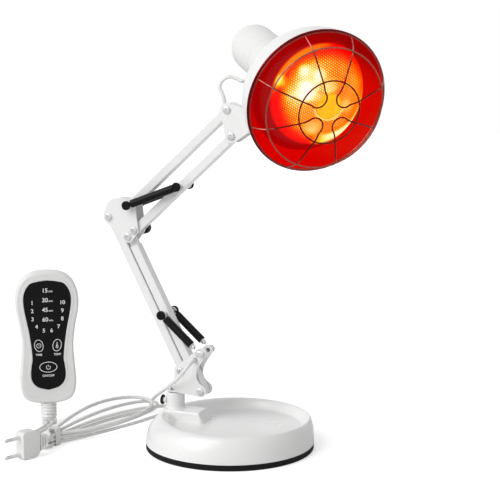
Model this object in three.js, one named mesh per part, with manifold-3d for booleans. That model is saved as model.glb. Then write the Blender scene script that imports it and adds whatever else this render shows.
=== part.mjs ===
// An infrared heat therapy lamp: a heavy round base with a dish, a sprung two-part arm, a bowl shade
// with a reflector bulb and a wire guard, a wired handset, and a mains lead tied in a hank.
// Millimetres, +Z up. The origin is the centre of the base's underside, and the arm lies in the
// plane Y = 0, leaning back towards -X and reaching forward towards +X.

import * as THREE from 'three';
import { mergeVertices } from 'three/addons/utils/BufferGeometryUtils.js';
import Module from 'manifold-3d';

const wasm = await Module();
wasm.setup();

// Clearances that every piece shares
const gap = 0.3;
const boreGap = 0.2;
const overrun = 1;

// Base: a round shell whose crest and dish are drawn towards +X
const baseRadius = 95;
const baseHeight = 35.5;
const crestInset = 13;
const crestRadius = baseRadius - crestInset;
const crestShift = 8;
const dishDepth = 10;
const dishBank = 12;
const dishRadius = crestRadius - dishBank;
const dishShift = 11;
const shellWall = 2.5;
const padThickness = 2.5;
const padHeight = 6.5;
const padLip = 3;
const coverThickness = 2;
const weightRadius = dishRadius - 4 * shellWall;
const weightShift = 6;

// Platform and post that carry the arm
const postX = -68;
const postRadius = 10.5;
const postTop = 56.5;
const postFloor = 29;
const platformTop = 38;
const platformHalfWidth = 14;
const platformEnd = -33;
const platformSlope = 6;
const spigotRadius = 6.2;
const spigotNeckRadius = 3.6;
const spigotHeadRadius = 6;
const spigotHeadHeight = 2.4;
const postScrewHeight = 45.5;
const postScrewRadius = 2;
const postCollarRadius = 4.2;
const postCollarLength = 2;
const postKnobRadius = 5.8;
const postKnobThickness = 4.6;

// Arm: two parallelograms of square tube, carried by pairs of plates
const lowerPivotLeft = [-57.1, 83.4];
const lowerPivotRight = [-32.8, 62.1];
const lowerReach = [-90.1, 171.8];
const elbowPivotLow = [-120.5, 270.2];
const elbowPivotHigh = [-115.3, 241.4];
const upperReach = [120, 109.6];
const barHeight = 10;
const barHalfWidth = 6;
const barWall = 1.2;
const barEndLength = 13;
const tongueHalfWidth = 2.6;
const forkHalfGap = 3.4;
const bushRadius = 4;
const plateInner = 8;
const plateThickness = 1.6;
const plateOuter = plateInner + plateThickness;

// Bolts and nuts of the arm
const shankRadius = 2.4;
const headRadius = 4.3;
const headHeight = 2.2;
const nutRadius = 4.6;
const nutHeight = 3.2;

// Lower bracket, in the arm plane
const leverPin = [-30.7, 106.8];
const leverWaist = [-46.5, 82];
const leverTipRadius = 5.6;
const leverWaistRadius = 9;
const lowerPivotLobe = 8;
const lowerPivotRightLobe = 6.8;
const bracketFloor = 58.2;
const bracketBack = -65;
const bracketBackBottom = 64;
const bracketBackTop = 74;
const bracketFloorBack = -74.5;
const bracketFloorFront = -48;
const bracketCornerRadius = 2;
const leadHole = [-39, 97.5];
const leadHoleRadius = 3.2;

// Elbow plates
const elbowLobe = 7;
const elbowHighLobe = 5.6;
const elbowCrown = [-136.5, 262.5];
const elbowCrownRadius = 14.6;
const elbowKnobRadius = 7;
const elbowKnobLength = 9;
const elbowKnobNeck = 3.6;
const elbowKnobNeckLength = 3.6;

// Head bracket and the yoke that turns and tilts the head
const nose = [34, 370];
const noseRadius = 7;
const headLobe = 7.5;
const noseHalfLength = 6;
const yokeStudRadius = 3.1;
const yokeFootRadius = 5;
const yokeFootHeight = 3;
const yokeDiscRadius = 8;
const yokeDiscHeight = 3;
const yokeRise = 20;
const tiltHeight = nose[1] + yokeRise;
const yokeCheekThickness = 2.2;
const yokeCheekRadius = 5.6;
const lugThickness = 5;
const lugRadius = 5.4;
const lugTopFront = 14;
const lugTopBack = 12;
const lugTopRise = 24;
const tiltKnobRadius = 5.6;
const tiltKnobLength = 9;
const tiltHeadRadius = 4.2;
const tiltHeadHeight = 2;

// Springs on both sides of each arm
const springOffset = 14.4;
const springPinRadius = 2.4;
const springPinEnd = 16.4;
const springCapRadius = 5.2;
const springCapLength = 3;
const lowerSpringShare = 0.497;
const upperSpringShare = 0.477;
const coilRadius = 3.2;
const hookWire = 1;
const hookRadius = 3.7;
const sleeveOuter = 4.6;
const sleeveInner = 3.6;
const coilInset = 9;
const lowerSleeveInset = [14.5, 7];
const upperSleeveInset = [7, 7];

// Head: the middle of the shade's rim, as far from the tilt screw as it hangs, where its axis
// points, and the pieces along that axis
const headHang = [84.9, -54.3, 2.1];
const headCentre = [nose[0] + headHang[0], headHang[1], tiltHeight + headHang[2]];
const headYaw = -45.1;
const headPitch = -18.3;
const shadeRadius = 75.6;
const shadeDepth = 80;
const shadeWall = 1.5;
const rimBead = 1.6;
const neckRadius = 26.5;
const neckFront = -70;
const neckBack = -172.5;
const neckWall = 2;
const holderRadius = 19;
const holderBore = 14;
const holderFront = -116;
const holderBack = -164;
const holderFlangeFront = -128;
const holderFlangeThickness = 4;
const bulbMargin = 14.1;
const bulbRadius = shadeRadius - bulbMargin;
const bulbWall = 1.2;
const bulbFace = -4;
const bulbNeckRadius = 17;
const bulbNeckBack = -111;
const capRadius = 13.6;
const capLength = 36;
const capTipRadius = 5;
const capTipLength = 4;
const stemRadius = 5;
const stemLength = 34;
const filamentRadius = 11;
const filamentWire = 1.2;
const filamentPostRadius = 1;
const filamentPostLength = 22;

// Wire guard: three rings on steps forward of the rim, and four bowed loops
const guardWire = 1.1;
const guardInset = 1;
const guardRimRadius = shadeRadius - guardInset;
const guardMiddleInset = 10.6;
const guardMiddleRadius = guardRimRadius - guardMiddleInset;
const guardMiddleStep = 20.7;
const guardInnerInset = 30.7;
const guardInnerRadius = guardMiddleRadius - guardInnerInset;
const guardInnerStep = 31.6;
const guardLoopAngle = 25;
const guardLoopCount = 4;
const guardLoopTurn = 45;
const guardTipCentre = 21;
const guardTipRadius = 9.5;

// Handset, standing on its cord boot and facing the viewer
const handsetPlace = [-237, 0.4];
const handsetTurn = 34;
const handsetBottom = 27;
const handsetTop = 186;
const handsetHalfWidth = 37.4;
const handsetBackDepth = 12;
const handsetFrontDepth = 10;
const handsetWall = 2;
const panelBottom = 43.7;
const panelTop = 175.5;
const panelHalfWidth = 27.8;
const panelThickness = 0.8;
const buttonTravel = 0.8;
const buttonProud = 0.5;
const smallButton = [5.7, 7.8];
const smallButtonPlace = [10.7, 97.6];
const smallButtonLean = 12;
const powerButton = [10.9, 6.9];
const powerButtonHeight = 71.4;
const boardThickness = 1.6;
const boardLift = 1.5;
const bootRadius = 9.6;
const bootRib = 1;
const bootRibCount = 6;
const bootFoot = [18, 15, 8.4];

// Plug, lying on its narrow edge
const plugRear = [-178.5, -106];
const plugTurn = 250.5;
const plugLength = 35;
const plugHalfHeight = 15.5;
const plugThickness = 14;
const plugTailHalfHeight = 4.6;
const plugPinRadius = 2;
const plugPinLength = 19;
const plugPinSpread = 9.5;

// Cords: the two leads of the handset, tied in a hank, and the short lead at the head
const cordRadius = 2;
const hankPlace = [-185, -74];
const hankTurn = 75;
const hankLayer = 4.7;
const hankSlot = 3;
const hankTurnLength = 17;
const hankTurnWidth = 9;
const loopSteps = 24;
const loopSides = 5;
const hankLoops = {
  first: { length: 162, width: 44, lean: 6 },
  second: { length: 170, width: 30, lean: 2 },
  third: { length: 180, width: 26, lean: -5 },
};
const tieLength = 12;
const tieBandLength = 7;
const tieWall = 0.8;
const tieClearance = 0.35;
const hankFloor = cordRadius + tieClearance + tieWall;
const hankTop = 3;

// Angles and counts
const degree = Math.PI / 180;
const boltSides = 8;
const roundSides = 14;
const fineSides = 28;
const baseSides = 36;
const wireSides = 4;
const guardLoopSteps = 14;

const lamp = new THREE.Group();

// Turns a closed geometry into a solid for joining and cutting
function solidOf(geometry) {
  const bare = geometry.clone();
  bare.deleteAttribute('normal');
  bare.deleteAttribute('uv');
  const merged = mergeVertices(bare, mergeTolerance);
  return new wasm.Manifold(new wasm.Mesh({
    numProp: 3,
    vertProperties: new Float32Array(merged.attributes.position.array),
    triVerts: new Uint32Array(merged.index.array),
  }));
}

const mergeTolerance = 1e-4;

// Turns a solid back into a geometry
function geometryOf(solid) {
  const mesh = solid.getMesh();
  const geometry = new THREE.BufferGeometry();
  geometry.setAttribute('position', new THREE.BufferAttribute(mesh.vertProperties, 3));
  geometry.setIndex(new THREE.BufferAttribute(mesh.triVerts, 1));
  return geometry;
}

function join(...geometries) {
  return geometryOf(geometries.map(solidOf).reduce((whole, next) => whole.add(next)));
}

function cut(geometry, ...tools) {
  return geometryOf(tools.map(solidOf).reduce((rest, tool) => rest.subtract(tool), solidOf(geometry)));
}

// A rod between two points
function rod(from, to, radius, sides = boltSides, endRadius = radius) {
  const start = new THREE.Vector3(...from);
  const end = new THREE.Vector3(...to);
  const along = end.clone().sub(start);
  const geometry = new THREE.CylinderGeometry(endRadius, radius, along.length(), sides);
  const turn = new THREE.Quaternion().setFromUnitVectors(new THREE.Vector3(0, 1, 0), along.normalize());
  geometry.applyQuaternion(turn);
  const middle = start.add(end).multiplyScalar(1 / 2);
  return geometry.translate(middle.x, middle.y, middle.z);
}

// A rod square to the arm plane, between two Y values
function cross([x, z], from, to, radius, sides = boltSides) {
  return rod([x, from, z], [x, to, z], radius, sides);
}

// A box between two corners
function box(low, high) {
  const size = high.map((value, axis) => value - low[axis]);
  const middle = high.map((value, axis) => (value + low[axis]) / 2);
  return new THREE.BoxGeometry(...size).translate(...middle);
}

// The outline that a taut band makes round some circles, each [x, y, radius]
function bandShape(circles, sides = roundSides) {
  const points = circles.flatMap(([x, y, radius]) => Array.from({ length: sides }, (_, step) => {
    const angle = (step / sides) * 2 * Math.PI;
    return new THREE.Vector2(x + radius * Math.cos(angle), y + radius * Math.sin(angle));
  }));
  points.sort((a, b) => a.x - b.x || a.y - b.y);
  const half = (list) => list.reduce((chain, point) => {
    while (chain.length > 1) {
      const before = chain.at(-2);
      const last = chain.at(-1);
      const bend = (last.x - before.x) * (point.y - before.y) - (last.y - before.y) * (point.x - before.x);
      if (bend > 0) break;
      chain.pop();
    }
    chain.push(point);
    return chain;
  }, []);
  const lower = half(points);
  const upper = half([...points].reverse());
  return new THREE.Shape([...lower.slice(0, -1), ...upper.slice(0, -1)]);
}

// A flat piece in the arm plane, its outline drawn in X and Z, between two Y values
function plate(shape, from, to) {
  const geometry = new THREE.ExtrudeGeometry(shape, { depth: to - from, bevelEnabled: false });
  return geometry.rotateX(Math.PI / 2).translate(0, to, 0);
}

// A flat piece that lies level, its outline drawn in X and Y, between two heights
function slab(shape, from, to) {
  const geometry = new THREE.ExtrudeGeometry(shape, { depth: to - from, bevelEnabled: false });
  return geometry.translate(0, 0, from);
}

// A body of revolution round Z, from a profile of [radius, height] pairs
function turned(profile, sides = fineSides) {
  const points = profile.map(([radius, height]) => new THREE.Vector2(radius, height));
  return new THREE.LatheGeometry(points, sides).rotateX(Math.PI / 2);
}

// A tube along a smooth curve through some points
function tube(points, radius, steps, sides) {
  const curve = new THREE.CatmullRomCurve3(points.map((point) => new THREE.Vector3(...point)));
  const section = new THREE.Shape(Array.from({ length: sides }, (_, side) => {
    const angle = (side / sides) * 2 * Math.PI;
    return new THREE.Vector2(radius * Math.cos(angle), radius * Math.sin(angle));
  }));
  return new THREE.ExtrudeGeometry(section, { steps, extrudePath: curve, bevelEnabled: false });
}

const finishes = {
  whitePaint: [0xf1f1f0, 0.35, 0],
  whitePlastic: [0xeeeeec, 0.4, 0],
  blackPlastic: [0x151515, 0.4, 0],
  blackPanel: [0x0a0a0b, 0.2, 0],
  rubber: [0x101010, 0.8, 0],
  steel: [0xb9bcc0, 0.35, 1],
  brass: [0xc9a862, 0.3, 1],
  ceramic: [0xe8e4da, 0.5, 0],
  redGlass: [0xd81408, 0.1, 0],
  guardWire: [0xb8442f, 0.3, 1],
  board: [0x1d5b33, 0.6, 0],
  filament: [0xffc04a, 0.4, 1],
  cord: [0xf0f0ee, 0.5, 0],
};

function piece(name, geometry, finish, parent = lamp) {
  const [color, roughness, metalness] = finishes[finish];
  const mesh = new THREE.Mesh(geometry, new THREE.MeshStandardMaterial({ color, roughness, metalness }));
  mesh.name = name;
  parent.add(mesh);
}

// Places that lie one reach away from a pivot
function reached([x, z], [dx, dz], share = 1) {
  return [x + dx * share, z + dz * share];
}

const elbowLeft = reached(lowerPivotLeft, lowerReach);
const elbowRight = reached(lowerPivotRight, lowerReach);
const headPivotTop = reached(elbowPivotLow, upperReach);
const headPivotBottom = reached(elbowPivotHigh, upperReach);
const lowerSpringPin = reached(lowerPivotRight, lowerReach, lowerSpringShare);
const upperSpringPin = reached(elbowPivotHigh, upperReach, upperSpringShare);

// Base

// A closed skin through level circles, each {radius, shift, height}, from one centre to the other
function circleSkin(circles, sides) {
  const positions = [];
  const first = circles[0];
  const last = circles.at(-1);
  positions.push(first.shift, 0, first.height);
  for (const { radius, shift, height } of circles) {
    for (let side = 0; side < sides; side += 1) {
      const angle = (side / sides) * 2 * Math.PI;
      positions.push(shift + radius * Math.cos(angle), radius * Math.sin(angle), height);
    }
  }
  positions.push(last.shift, 0, last.height);
  const index = [];
  const end = circles.length * sides + 1;
  for (let side = 0; side < sides; side += 1) {
    const next = (side + 1) % sides;
    index.push(0, 1 + side, 1 + next);
    for (let ring = 0; ring < circles.length - 1; ring += 1) {
      const here = 1 + ring * sides;
      const below = here + sides;
      index.push(here + side, below + side, below + next, here + side, below + next, here + next);
    }
    index.push(end - sides + side, end, end - sides + next);
  }
  const geometry = new THREE.BufferGeometry();
  geometry.setAttribute('position', new THREE.Float32BufferAttribute(positions, 3));
  geometry.setIndex(index);
  return geometry;
}

function baseShell() {
  const foot = padHeight + gap;
  const dishFloor = baseHeight - dishDepth;
  const wallSteps = 5;
  const dishSteps = 4;
  const circles = [];
  for (let step = 0; step <= dishSteps; step += 1) {
    const turn = (step / dishSteps) * Math.PI;
    const rise = (1 - Math.cos(turn)) / 2;
    circles.push({
      radius: dishRadius + (crestRadius - dishRadius) * (step / dishSteps),
      shift: dishShift + (crestShift - dishShift) * (step / dishSteps),
      height: dishFloor + dishDepth * rise,
    });
  }
  for (let step = 1; step <= wallSteps; step += 1) {
    const turn = (1 - step / wallSteps) * (Math.PI / 2);
    circles.push({
      radius: crestRadius + (baseRadius - crestRadius) * Math.cos(turn),
      shift: crestShift * (1 - Math.cos(turn)),
      height: foot + (baseHeight - foot) * Math.sin(turn),
    });
  }
  const ceiling = dishFloor - shellWall;
  circles.push({ radius: baseRadius - shellWall, shift: 0, height: foot });
  circles.push({ radius: baseRadius - 2 * shellWall, shift: 0, height: (foot + ceiling) / 2 });
  circles.push({ radius: dishRadius + dishShift, shift: 0, height: ceiling });
  const skin = circleSkin(circles, baseSides);
  const platform = slab(
    bandShape([
      [postX, 0, platformHalfWidth],
      [platformEnd, platformHalfWidth - platformSlope, platformSlope],
      [platformEnd, platformSlope - platformHalfWidth, platformSlope],
    ]),
    dishFloor - shellWall / 2,
    platformTop,
  );
  const slopeTool = box(
    [-platformSlope, -baseRadius, -platformTop],
    [baseRadius, baseRadius, platformTop],
  ).rotateY(-platformSlopeAngle).translate(platformEnd + platformSlope, 0, platformTop);
  const post = rod([postX, 0, dishFloor], [postX, 0, postTop], postRadius, fineSides);
  const bore = rod([postX, 0, postFloor], [postX, 0, postTop + overrun], spigotRadius + gap, fineSides);
  const screwBore = rod(
    [postX - postRadius - overrun, 0, postScrewHeight],
    [postX, 0, postScrewHeight],
    postScrewRadius + boreGap,
  );
  return cut(join(skin, cut(platform, slopeTool), post), bore, screwBore);
}

const platformSlopeAngle = 25 * degree;

function basePad() {
  const inner = baseRadius - padLip;
  return turned([
    [0, 0],
    [baseRadius, 0],
    [baseRadius, padHeight],
    [inner, padHeight],
    [inner, padThickness],
    [0, padThickness],
  ], baseSides);
}

function baseCover() {
  const from = padThickness + gap;
  return rod([0, 0, from], [0, 0, from + coverThickness], baseRadius - padLip - gap, baseSides);
}

function baseWeight() {
  const from = padThickness + coverThickness + 2 * gap;
  const to = baseHeight - dishDepth - shellWall - gap;
  return rod([weightShift, 0, from], [weightShift, 0, to], weightRadius, fineSides);
}

function postKnob() {
  const face = postX - postRadius - gap;
  const tip = postX - spigotRadius - gap;
  const back = face - postCollarLength;
  return join(
    rod([tip, 0, postScrewHeight], [back, 0, postScrewHeight], postScrewRadius),
    rod([face, 0, postScrewHeight], [back, 0, postScrewHeight], postCollarRadius),
    rod([back, 0, postScrewHeight], [back - postKnobThickness, 0, postScrewHeight], postKnobRadius),
  );
}

piece('base_shell', baseShell(), 'whitePaint');
piece('base_pad', basePad(), 'rubber');
piece('base_cover', baseCover(), 'steel');
piece('base_weight', baseWeight(), 'steel');
piece('post_knob', postKnob(), 'blackPlastic');

// Lower bracket and its swivel spigot

const bracketWebTop = bracketFloor + plateThickness;

function swivelSpigot() {
  const shoulder = bracketFloor - gap;
  const seat = bracketWebTop + gap;
  return join(
    rod([postX, 0, postFloor + gap], [postX, 0, shoulder], spigotRadius, fineSides),
    rod([postX, 0, shoulder], [postX, 0, seat + spigotHeadHeight], spigotNeckRadius),
    rod([postX, 0, seat], [postX, 0, seat + spigotHeadHeight], spigotHeadRadius),
  );
}

function bracketCheek(from, to) {
  const left = [...lowerPivotLeft, lowerPivotLobe];
  const right = [...lowerPivotRight, lowerPivotRightLobe];
  const waist = [...leverWaist, leverWaistRadius];
  const tip = [...leverPin, leverTipRadius];
  const corner = [bracketBack + bracketCornerRadius, bracketFloor + bracketCornerRadius, bracketCornerRadius];
  const outlines = [[left, waist], [waist, tip], [left, tip], [waist, right], [left, right, corner]];
  return join(...outlines.map((circles) => plate(bandShape(circles), from, to)));
}

// A stud riveted in the lever, with a head that keeps the spring's hook on
function leverStud(side) {
  const end = side * springPinEnd;
  return join(
    cross(leverPin, side * plateInner, end, springPinRadius),
    cross(leverPin, end, end + side * headHeight, headRadius),
  );
}

function lowerBracket() {
  const bore = shankRadius + boreGap;
  const body = join(
    bracketCheek(-plateOuter, -plateInner),
    bracketCheek(plateInner, plateOuter),
    box([bracketFloorBack, -plateOuter, bracketFloor], [bracketFloorFront, plateOuter, bracketWebTop]),
    box([bracketBack, -plateOuter, bracketBackBottom], [bracketBack + plateThickness, plateOuter, bracketBackTop]),
    leverStud(-1),
    leverStud(1),
  );
  return cut(
    body,
    cross(lowerPivotLeft, -plateOuter - overrun, plateOuter + overrun, bore),
    cross(lowerPivotRight, -plateOuter - overrun, plateOuter + overrun, bore),
    cross(leadHole, -plateOuter - overrun, 0, leadHoleRadius),
    rod([postX, 0, bracketFloor - overrun], [postX, 0, bracketWebTop + overrun], spigotNeckRadius + boreGap),
  );
}

// A bolt through two plates, with its head towards the viewer and its nut behind
function plateBolt(place) {
  const seat = plateOuter + gap;
  return join(
    cross(place, -seat - headHeight, seat + nutHeight, shankRadius),
    cross(place, -seat - headHeight, -seat, headRadius),
    cross(place, seat, seat + nutHeight, nutRadius, 6),
  );
}

piece('swivel_spigot', swivelSpigot(), 'steel');
piece('lower_bracket', lowerBracket(), 'whitePaint');
piece('lower_bolt_left', plateBolt(lowerPivotLeft), 'steel');
piece('lower_bolt_right', plateBolt(lowerPivotRight), 'steel');

// Arm bars

// One square tube between two pivots. Its far end is a tongue and, where fork is true, its near
// end is a fork, so that neighbouring bars pass through each other at the elbow.
function bar(reach, fork, pinShare) {
  const length = Math.hypot(...reach);
  const half = barHeight / 2;
  const bore = shankRadius + boreGap;
  const bushEnd = plateInner - gap;
  const tube = plate(bandShape([[0, 0, half], [length, 0, half]]), -barHalfWidth, barHalfWidth);
  const ends = [-half - overrun, length + half + overrun];
  const pocketFrom = fork ? barEndLength : ends[0];
  const pocketTo = fork ? ends[1] : length - barEndLength;
  const pocketHalf = [barHalfWidth - barWall, half - barWall];
  const cuts = [
    box([pocketFrom, -pocketHalf[0], -pocketHalf[1]], [pocketTo, pocketHalf[0], pocketHalf[1]]),
  ];
  if (fork) {
    cuts.push(box([ends[0], -forkHalfGap, -barHeight], [barEndLength + overrun, forkHalfGap, barHeight]));
  } else {
    const tongueFrom = length - barEndLength + overrun;
    for (const side of [-1, 1]) {
      const low = side < 0 ? -barHeight : tongueHalfWidth;
      const high = side < 0 ? -tongueHalfWidth : barHeight;
      cuts.push(box([tongueFrom, low, -barHeight], [ends[1], high, barHeight]));
    }
  }
  const hollow = cut(tube, ...cuts);
  const bushes = [0, length].flatMap((x) => [-1, 1].map((side) => {
    const solidFrom = fork || x === 0 ? barHalfWidth - barWall : tongueHalfWidth - barWall;
    return cross([x, 0], side * solidFrom, side * bushEnd, bushRadius);
  }));
  const bores = [0, length].map((x) => cross([x, 0], -plateInner, plateInner, bore));
  if (pinShare) {
    bores.push(cross([length * pinShare, 0], -plateInner, plateInner, springPinRadius + boreGap));
  }
  const turn = Math.atan2(reach[1], reach[0]);
  return cut(join(hollow, ...bushes), ...bores).rotateY(-turn);
}

function placedBar([x, z], reach, fork, pinShare) {
  return bar(reach, fork, pinShare).translate(x, 0, z);
}

// A pin through a bar, with a black cap at each end that keeps the springs on
function springPin(place) {
  const cap = springPinEnd + springCapLength;
  return join(
    cross(place, -springPinEnd, springPinEnd, springPinRadius),
    cross(place, -cap, -springPinEnd, springCapRadius),
    cross(place, springPinEnd, cap, springCapRadius),
  );
}

piece('lower_left_bar', placedBar(lowerPivotLeft, lowerReach, false), 'whitePaint');
piece('lower_right_bar', placedBar(lowerPivotRight, lowerReach, false, lowerSpringShare), 'whitePaint');
piece('lower_spring_pin', springPin(lowerSpringPin), 'blackPlastic');
piece('upper_top_bar', placedBar(elbowPivotLow, upperReach, true), 'whitePaint');
piece('upper_bottom_bar', placedBar(elbowPivotHigh, upperReach, true, upperSpringShare), 'whitePaint');
piece('upper_spring_pin', springPin(upperSpringPin), 'blackPlastic');

// Elbow

function elbowPlate(from, to) {
  const outline = bandShape([
    [...elbowLeft, elbowLobe],
    [...elbowRight, elbowLobe],
    [...elbowPivotHigh, elbowHighLobe],
    [...elbowPivotLow, elbowLobe],
    [...elbowCrown, elbowCrownRadius],
  ]);
  const pivots = [elbowLeft, elbowRight, elbowPivotHigh, elbowPivotLow];
  const bores = pivots.map((place) => cross(place, from - overrun, to + overrun, shankRadius + boreGap));
  return cut(plate(outline, from, to), ...bores);
}

// The friction bolt has its plain tail behind, where the knob is screwed on
function frictionBolt() {
  const seat = plateOuter + gap;
  const tail = seat + elbowKnobNeckLength + elbowKnobLength / 2;
  return join(
    cross(elbowPivotHigh, -seat - headHeight, tail, shankRadius),
    cross(elbowPivotHigh, -seat - headHeight, -seat, headRadius),
  );
}

function elbowKnob() {
  const seat = plateOuter + gap;
  const grip = seat + elbowKnobNeckLength;
  const knob = join(
    cross(elbowPivotHigh, seat, grip, elbowKnobNeck),
    cross(elbowPivotHigh, grip, grip + elbowKnobLength, elbowKnobRadius),
  );
  const socketEnd = grip + elbowKnobLength / 2 + gap;
  return cut(knob, cross(elbowPivotHigh, seat - overrun, socketEnd, shankRadius + boreGap));
}

piece('elbow_plate_front', elbowPlate(-plateOuter, -plateInner), 'whitePaint');
piece('elbow_plate_back', elbowPlate(plateInner, plateOuter), 'whitePaint');
piece('elbow_bolt_left', plateBolt(elbowLeft), 'steel');
piece('elbow_bolt_right', plateBolt(elbowRight), 'steel');
piece('elbow_spring_bolt', springPin(elbowPivotLow), 'blackPlastic');
piece('elbow_friction_bolt', frictionBolt(), 'steel');
piece('elbow_knob', elbowKnob(), 'blackPlastic');

// Head bracket, yoke and tilt knob

const noseTop = nose[1] + noseRadius;
const noseBottom = nose[1] - noseRadius;

function headBracket() {
  const circles = [
    [...headPivotTop, headLobe],
    [...headPivotBottom, headLobe],
    [...nose, noseRadius],
  ];
  const bore = shankRadius + boreGap;
  const body = join(
    plate(bandShape(circles), -plateOuter, -plateInner),
    plate(bandShape(circles), plateInner, plateOuter),
    box([nose[0] - noseHalfLength, -plateOuter, noseBottom], [nose[0] + noseHalfLength, plateOuter, noseTop]),
  );
  return cut(
    body,
    cross(headPivotTop, -plateOuter - overrun, plateOuter + overrun, bore),
    cross(headPivotBottom, -plateOuter - overrun, plateOuter + overrun, bore),
    rod([nose[0], 0, noseBottom - overrun], [nose[0], 0, noseTop + overrun], yokeStudRadius + boreGap, roundSides),
  );
}

// The yoke's fork opens along the head's own side axis, so it is made square and then turned
function yoke() {
  const disc = noseTop + gap;
  const cheekFrom = lugThickness / 2 + gap;
  const cheekTo = cheekFrom + yokeCheekThickness;
  const foot = noseBottom - gap;
  const cheek = (from, to) => join(
    rod([from, 0, tiltHeight], [to, 0, tiltHeight], yokeCheekRadius),
    box([from, -yokeCheekRadius, disc], [to, yokeCheekRadius, tiltHeight]),
  );
  const body = join(
    rod([0, 0, foot - yokeFootHeight], [0, 0, disc], yokeStudRadius, roundSides),
    rod([0, 0, foot - yokeFootHeight], [0, 0, foot], yokeFootRadius),
    rod([0, 0, disc], [0, 0, disc + yokeDiscHeight], yokeDiscRadius),
    cheek(-cheekTo, -cheekFrom),
    cheek(cheekFrom, cheekTo),
  );
  const bore = rod([-yokeDiscRadius, 0, tiltHeight], [yokeDiscRadius, 0, tiltHeight], shankRadius + boreGap);
  return cut(body, bore).rotateZ(headSideTurn).translate(nose[0], 0, 0);
}

const headSideTurn = (headYaw + 90) * degree;

// The tilt screw has a flat head on one side and a knob on the side away from the viewer
function tiltKnob() {
  const seat = lugThickness / 2 + yokeCheekThickness + 2 * gap;
  return join(
    rod([-seat - tiltHeadHeight, 0, 0], [seat + tiltKnobLength, 0, 0], shankRadius),
    rod([-seat - tiltHeadHeight, 0, 0], [-seat, 0, 0], tiltHeadRadius),
    rod([seat, 0, 0], [seat + tiltKnobLength, 0, 0], tiltKnobRadius),
  ).rotateZ(headSideTurn).translate(nose[0], 0, tiltHeight);
}

piece('head_bracket', headBracket(), 'whitePaint');
piece('head_bolt_top', plateBolt(headPivotTop), 'steel');
piece('head_bolt_bottom', plateBolt(headPivotBottom), 'steel');
piece('swivel_yoke', yoke(), 'whitePaint');
piece('tilt_knob', tiltKnob(), 'whitePlastic');

// Head: a group whose Z is the shade's axis, pointing out of its mouth, with X level and Y up

const head = new THREE.Group();
const headAxis = new THREE.Vector3(
  Math.cos(headYaw * degree) * Math.cos(headPitch * degree),
  Math.sin(headYaw * degree) * Math.cos(headPitch * degree),
  Math.sin(headPitch * degree),
);
const headSide = new THREE.Vector3(Math.cos(headSideTurn), Math.sin(headSideTurn), 0);
const headUp = new THREE.Vector3().crossVectors(headAxis, headSide);
head.position.set(...headCentre);
head.quaternion.setFromRotationMatrix(new THREE.Matrix4().makeBasis(headSide, headUp, headAxis));
lamp.add(head);

// The tilt axis, seen in the head's own frame
const tiltPlace = new THREE.Vector3(nose[0], 0, tiltHeight)
  .sub(head.position)
  .applyQuaternion(head.quaternion.clone().invert());

function bowlRadius(step, radius, depth) {
  return radius * Math.sqrt(1 - (step / depth) ** 2);
}

function shade() {
  const stations = 6;
  const back = shadeDepth * Math.sqrt(1 - ((neckRadius + gap) / shadeRadius) ** 2);
  const innerRadius = shadeRadius - shadeWall;
  const innerDepth = shadeDepth - shadeWall;
  const innerBack = innerDepth * Math.sqrt(1 - ((neckRadius + gap) / innerRadius) ** 2);
  const outer = [];
  const inner = [];
  for (let station = 1; station <= stations; station += 1) {
    const turn = (station / stations) * (Math.PI / 2);
    const step = -back * Math.cos(turn);
    outer.push([bowlRadius(step, shadeRadius, shadeDepth), step]);
    const innerStep = -innerBack * Math.cos(turn);
    inner.unshift([bowlRadius(innerStep, innerRadius, innerDepth), innerStep]);
  }
  const bead = [
    [shadeRadius + rimBead / 2, 0],
    [shadeRadius + rimBead / 2, rimBead],
    [innerRadius, rimBead],
  ];
  const profile = [[neckRadius + gap, -innerBack], [neckRadius + gap, -back], ...outer, ...bead, ...inner];
  return turned([...profile, profile[0]], fineSides);
}

function socketHousing() {
  const stations = 4;
  const outer = [];
  const inner = [];
  for (let station = 0; station <= stations; station += 1) {
    const turn = (station / stations) * (Math.PI / 2);
    outer.push([neckRadius * Math.sin(turn), neckBack - neckRadius * Math.cos(turn)]);
    const radius = neckRadius - neckWall;
    inner.unshift([radius * Math.sin(turn), neckBack - radius * Math.cos(turn)]);
  }
  const front = [[neckRadius, neckFront], [neckRadius - neckWall, neckFront]];
  return turned([...outer, ...front, ...inner], bulbSides);
}

function lampholder() {
  const flangeBack = holderFlangeFront - holderFlangeThickness;
  const flangeRadius = neckRadius - neckWall - gap;
  const boreFloor = bulbNeckBack - gap - capLength - capTipLength - gap;
  return turned([
    [0, holderBack],
    [holderRadius, holderBack],
    [holderRadius, flangeBack],
    [flangeRadius, flangeBack],
    [flangeRadius, holderFlangeFront],
    [holderRadius, holderFlangeFront],
    [holderRadius, holderFront],
    [holderBore, holderFront],
    [holderBore, boreFloor],
    [0, boreFloor],
  ], bulbSides);
}

// The bulb's sides, as shares of its radius at shares of the way from its face to its neck's end
const bulbSideShares = [
  [0.62, 0.035], [0.9, 0.085], [1, 0.15], [0.93, 0.27], [0.81, 0.36], [0.64, 0.47], [0.43, 0.58],
];

function bulbGlass() {
  const length = bulbNeckBack - bulbFace;
  const outside = bulbSideShares.map(([out, along]) => [bulbRadius * out, bulbFace + length * along]);
  outside.push([bulbNeckRadius, bulbFace + length * bulbNeckShare], [bulbNeckRadius, bulbNeckBack]);
  const inside = outside.map(([radius, step], place) => {
    const facing = Math.max(0, 1 - place / bulbFacePoints);
    return [radius - bulbWall, step - bulbWall * facing];
  });
  const profile = [[0, bulbFace - bulbWall], ...inside, ...outside.reverse(), [0, bulbFace]];
  return turned(profile, bulbSides);
}

const bulbFacePoints = 4;
const bulbSides = 20;
const bulbNeckShare = 0.72;

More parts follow.
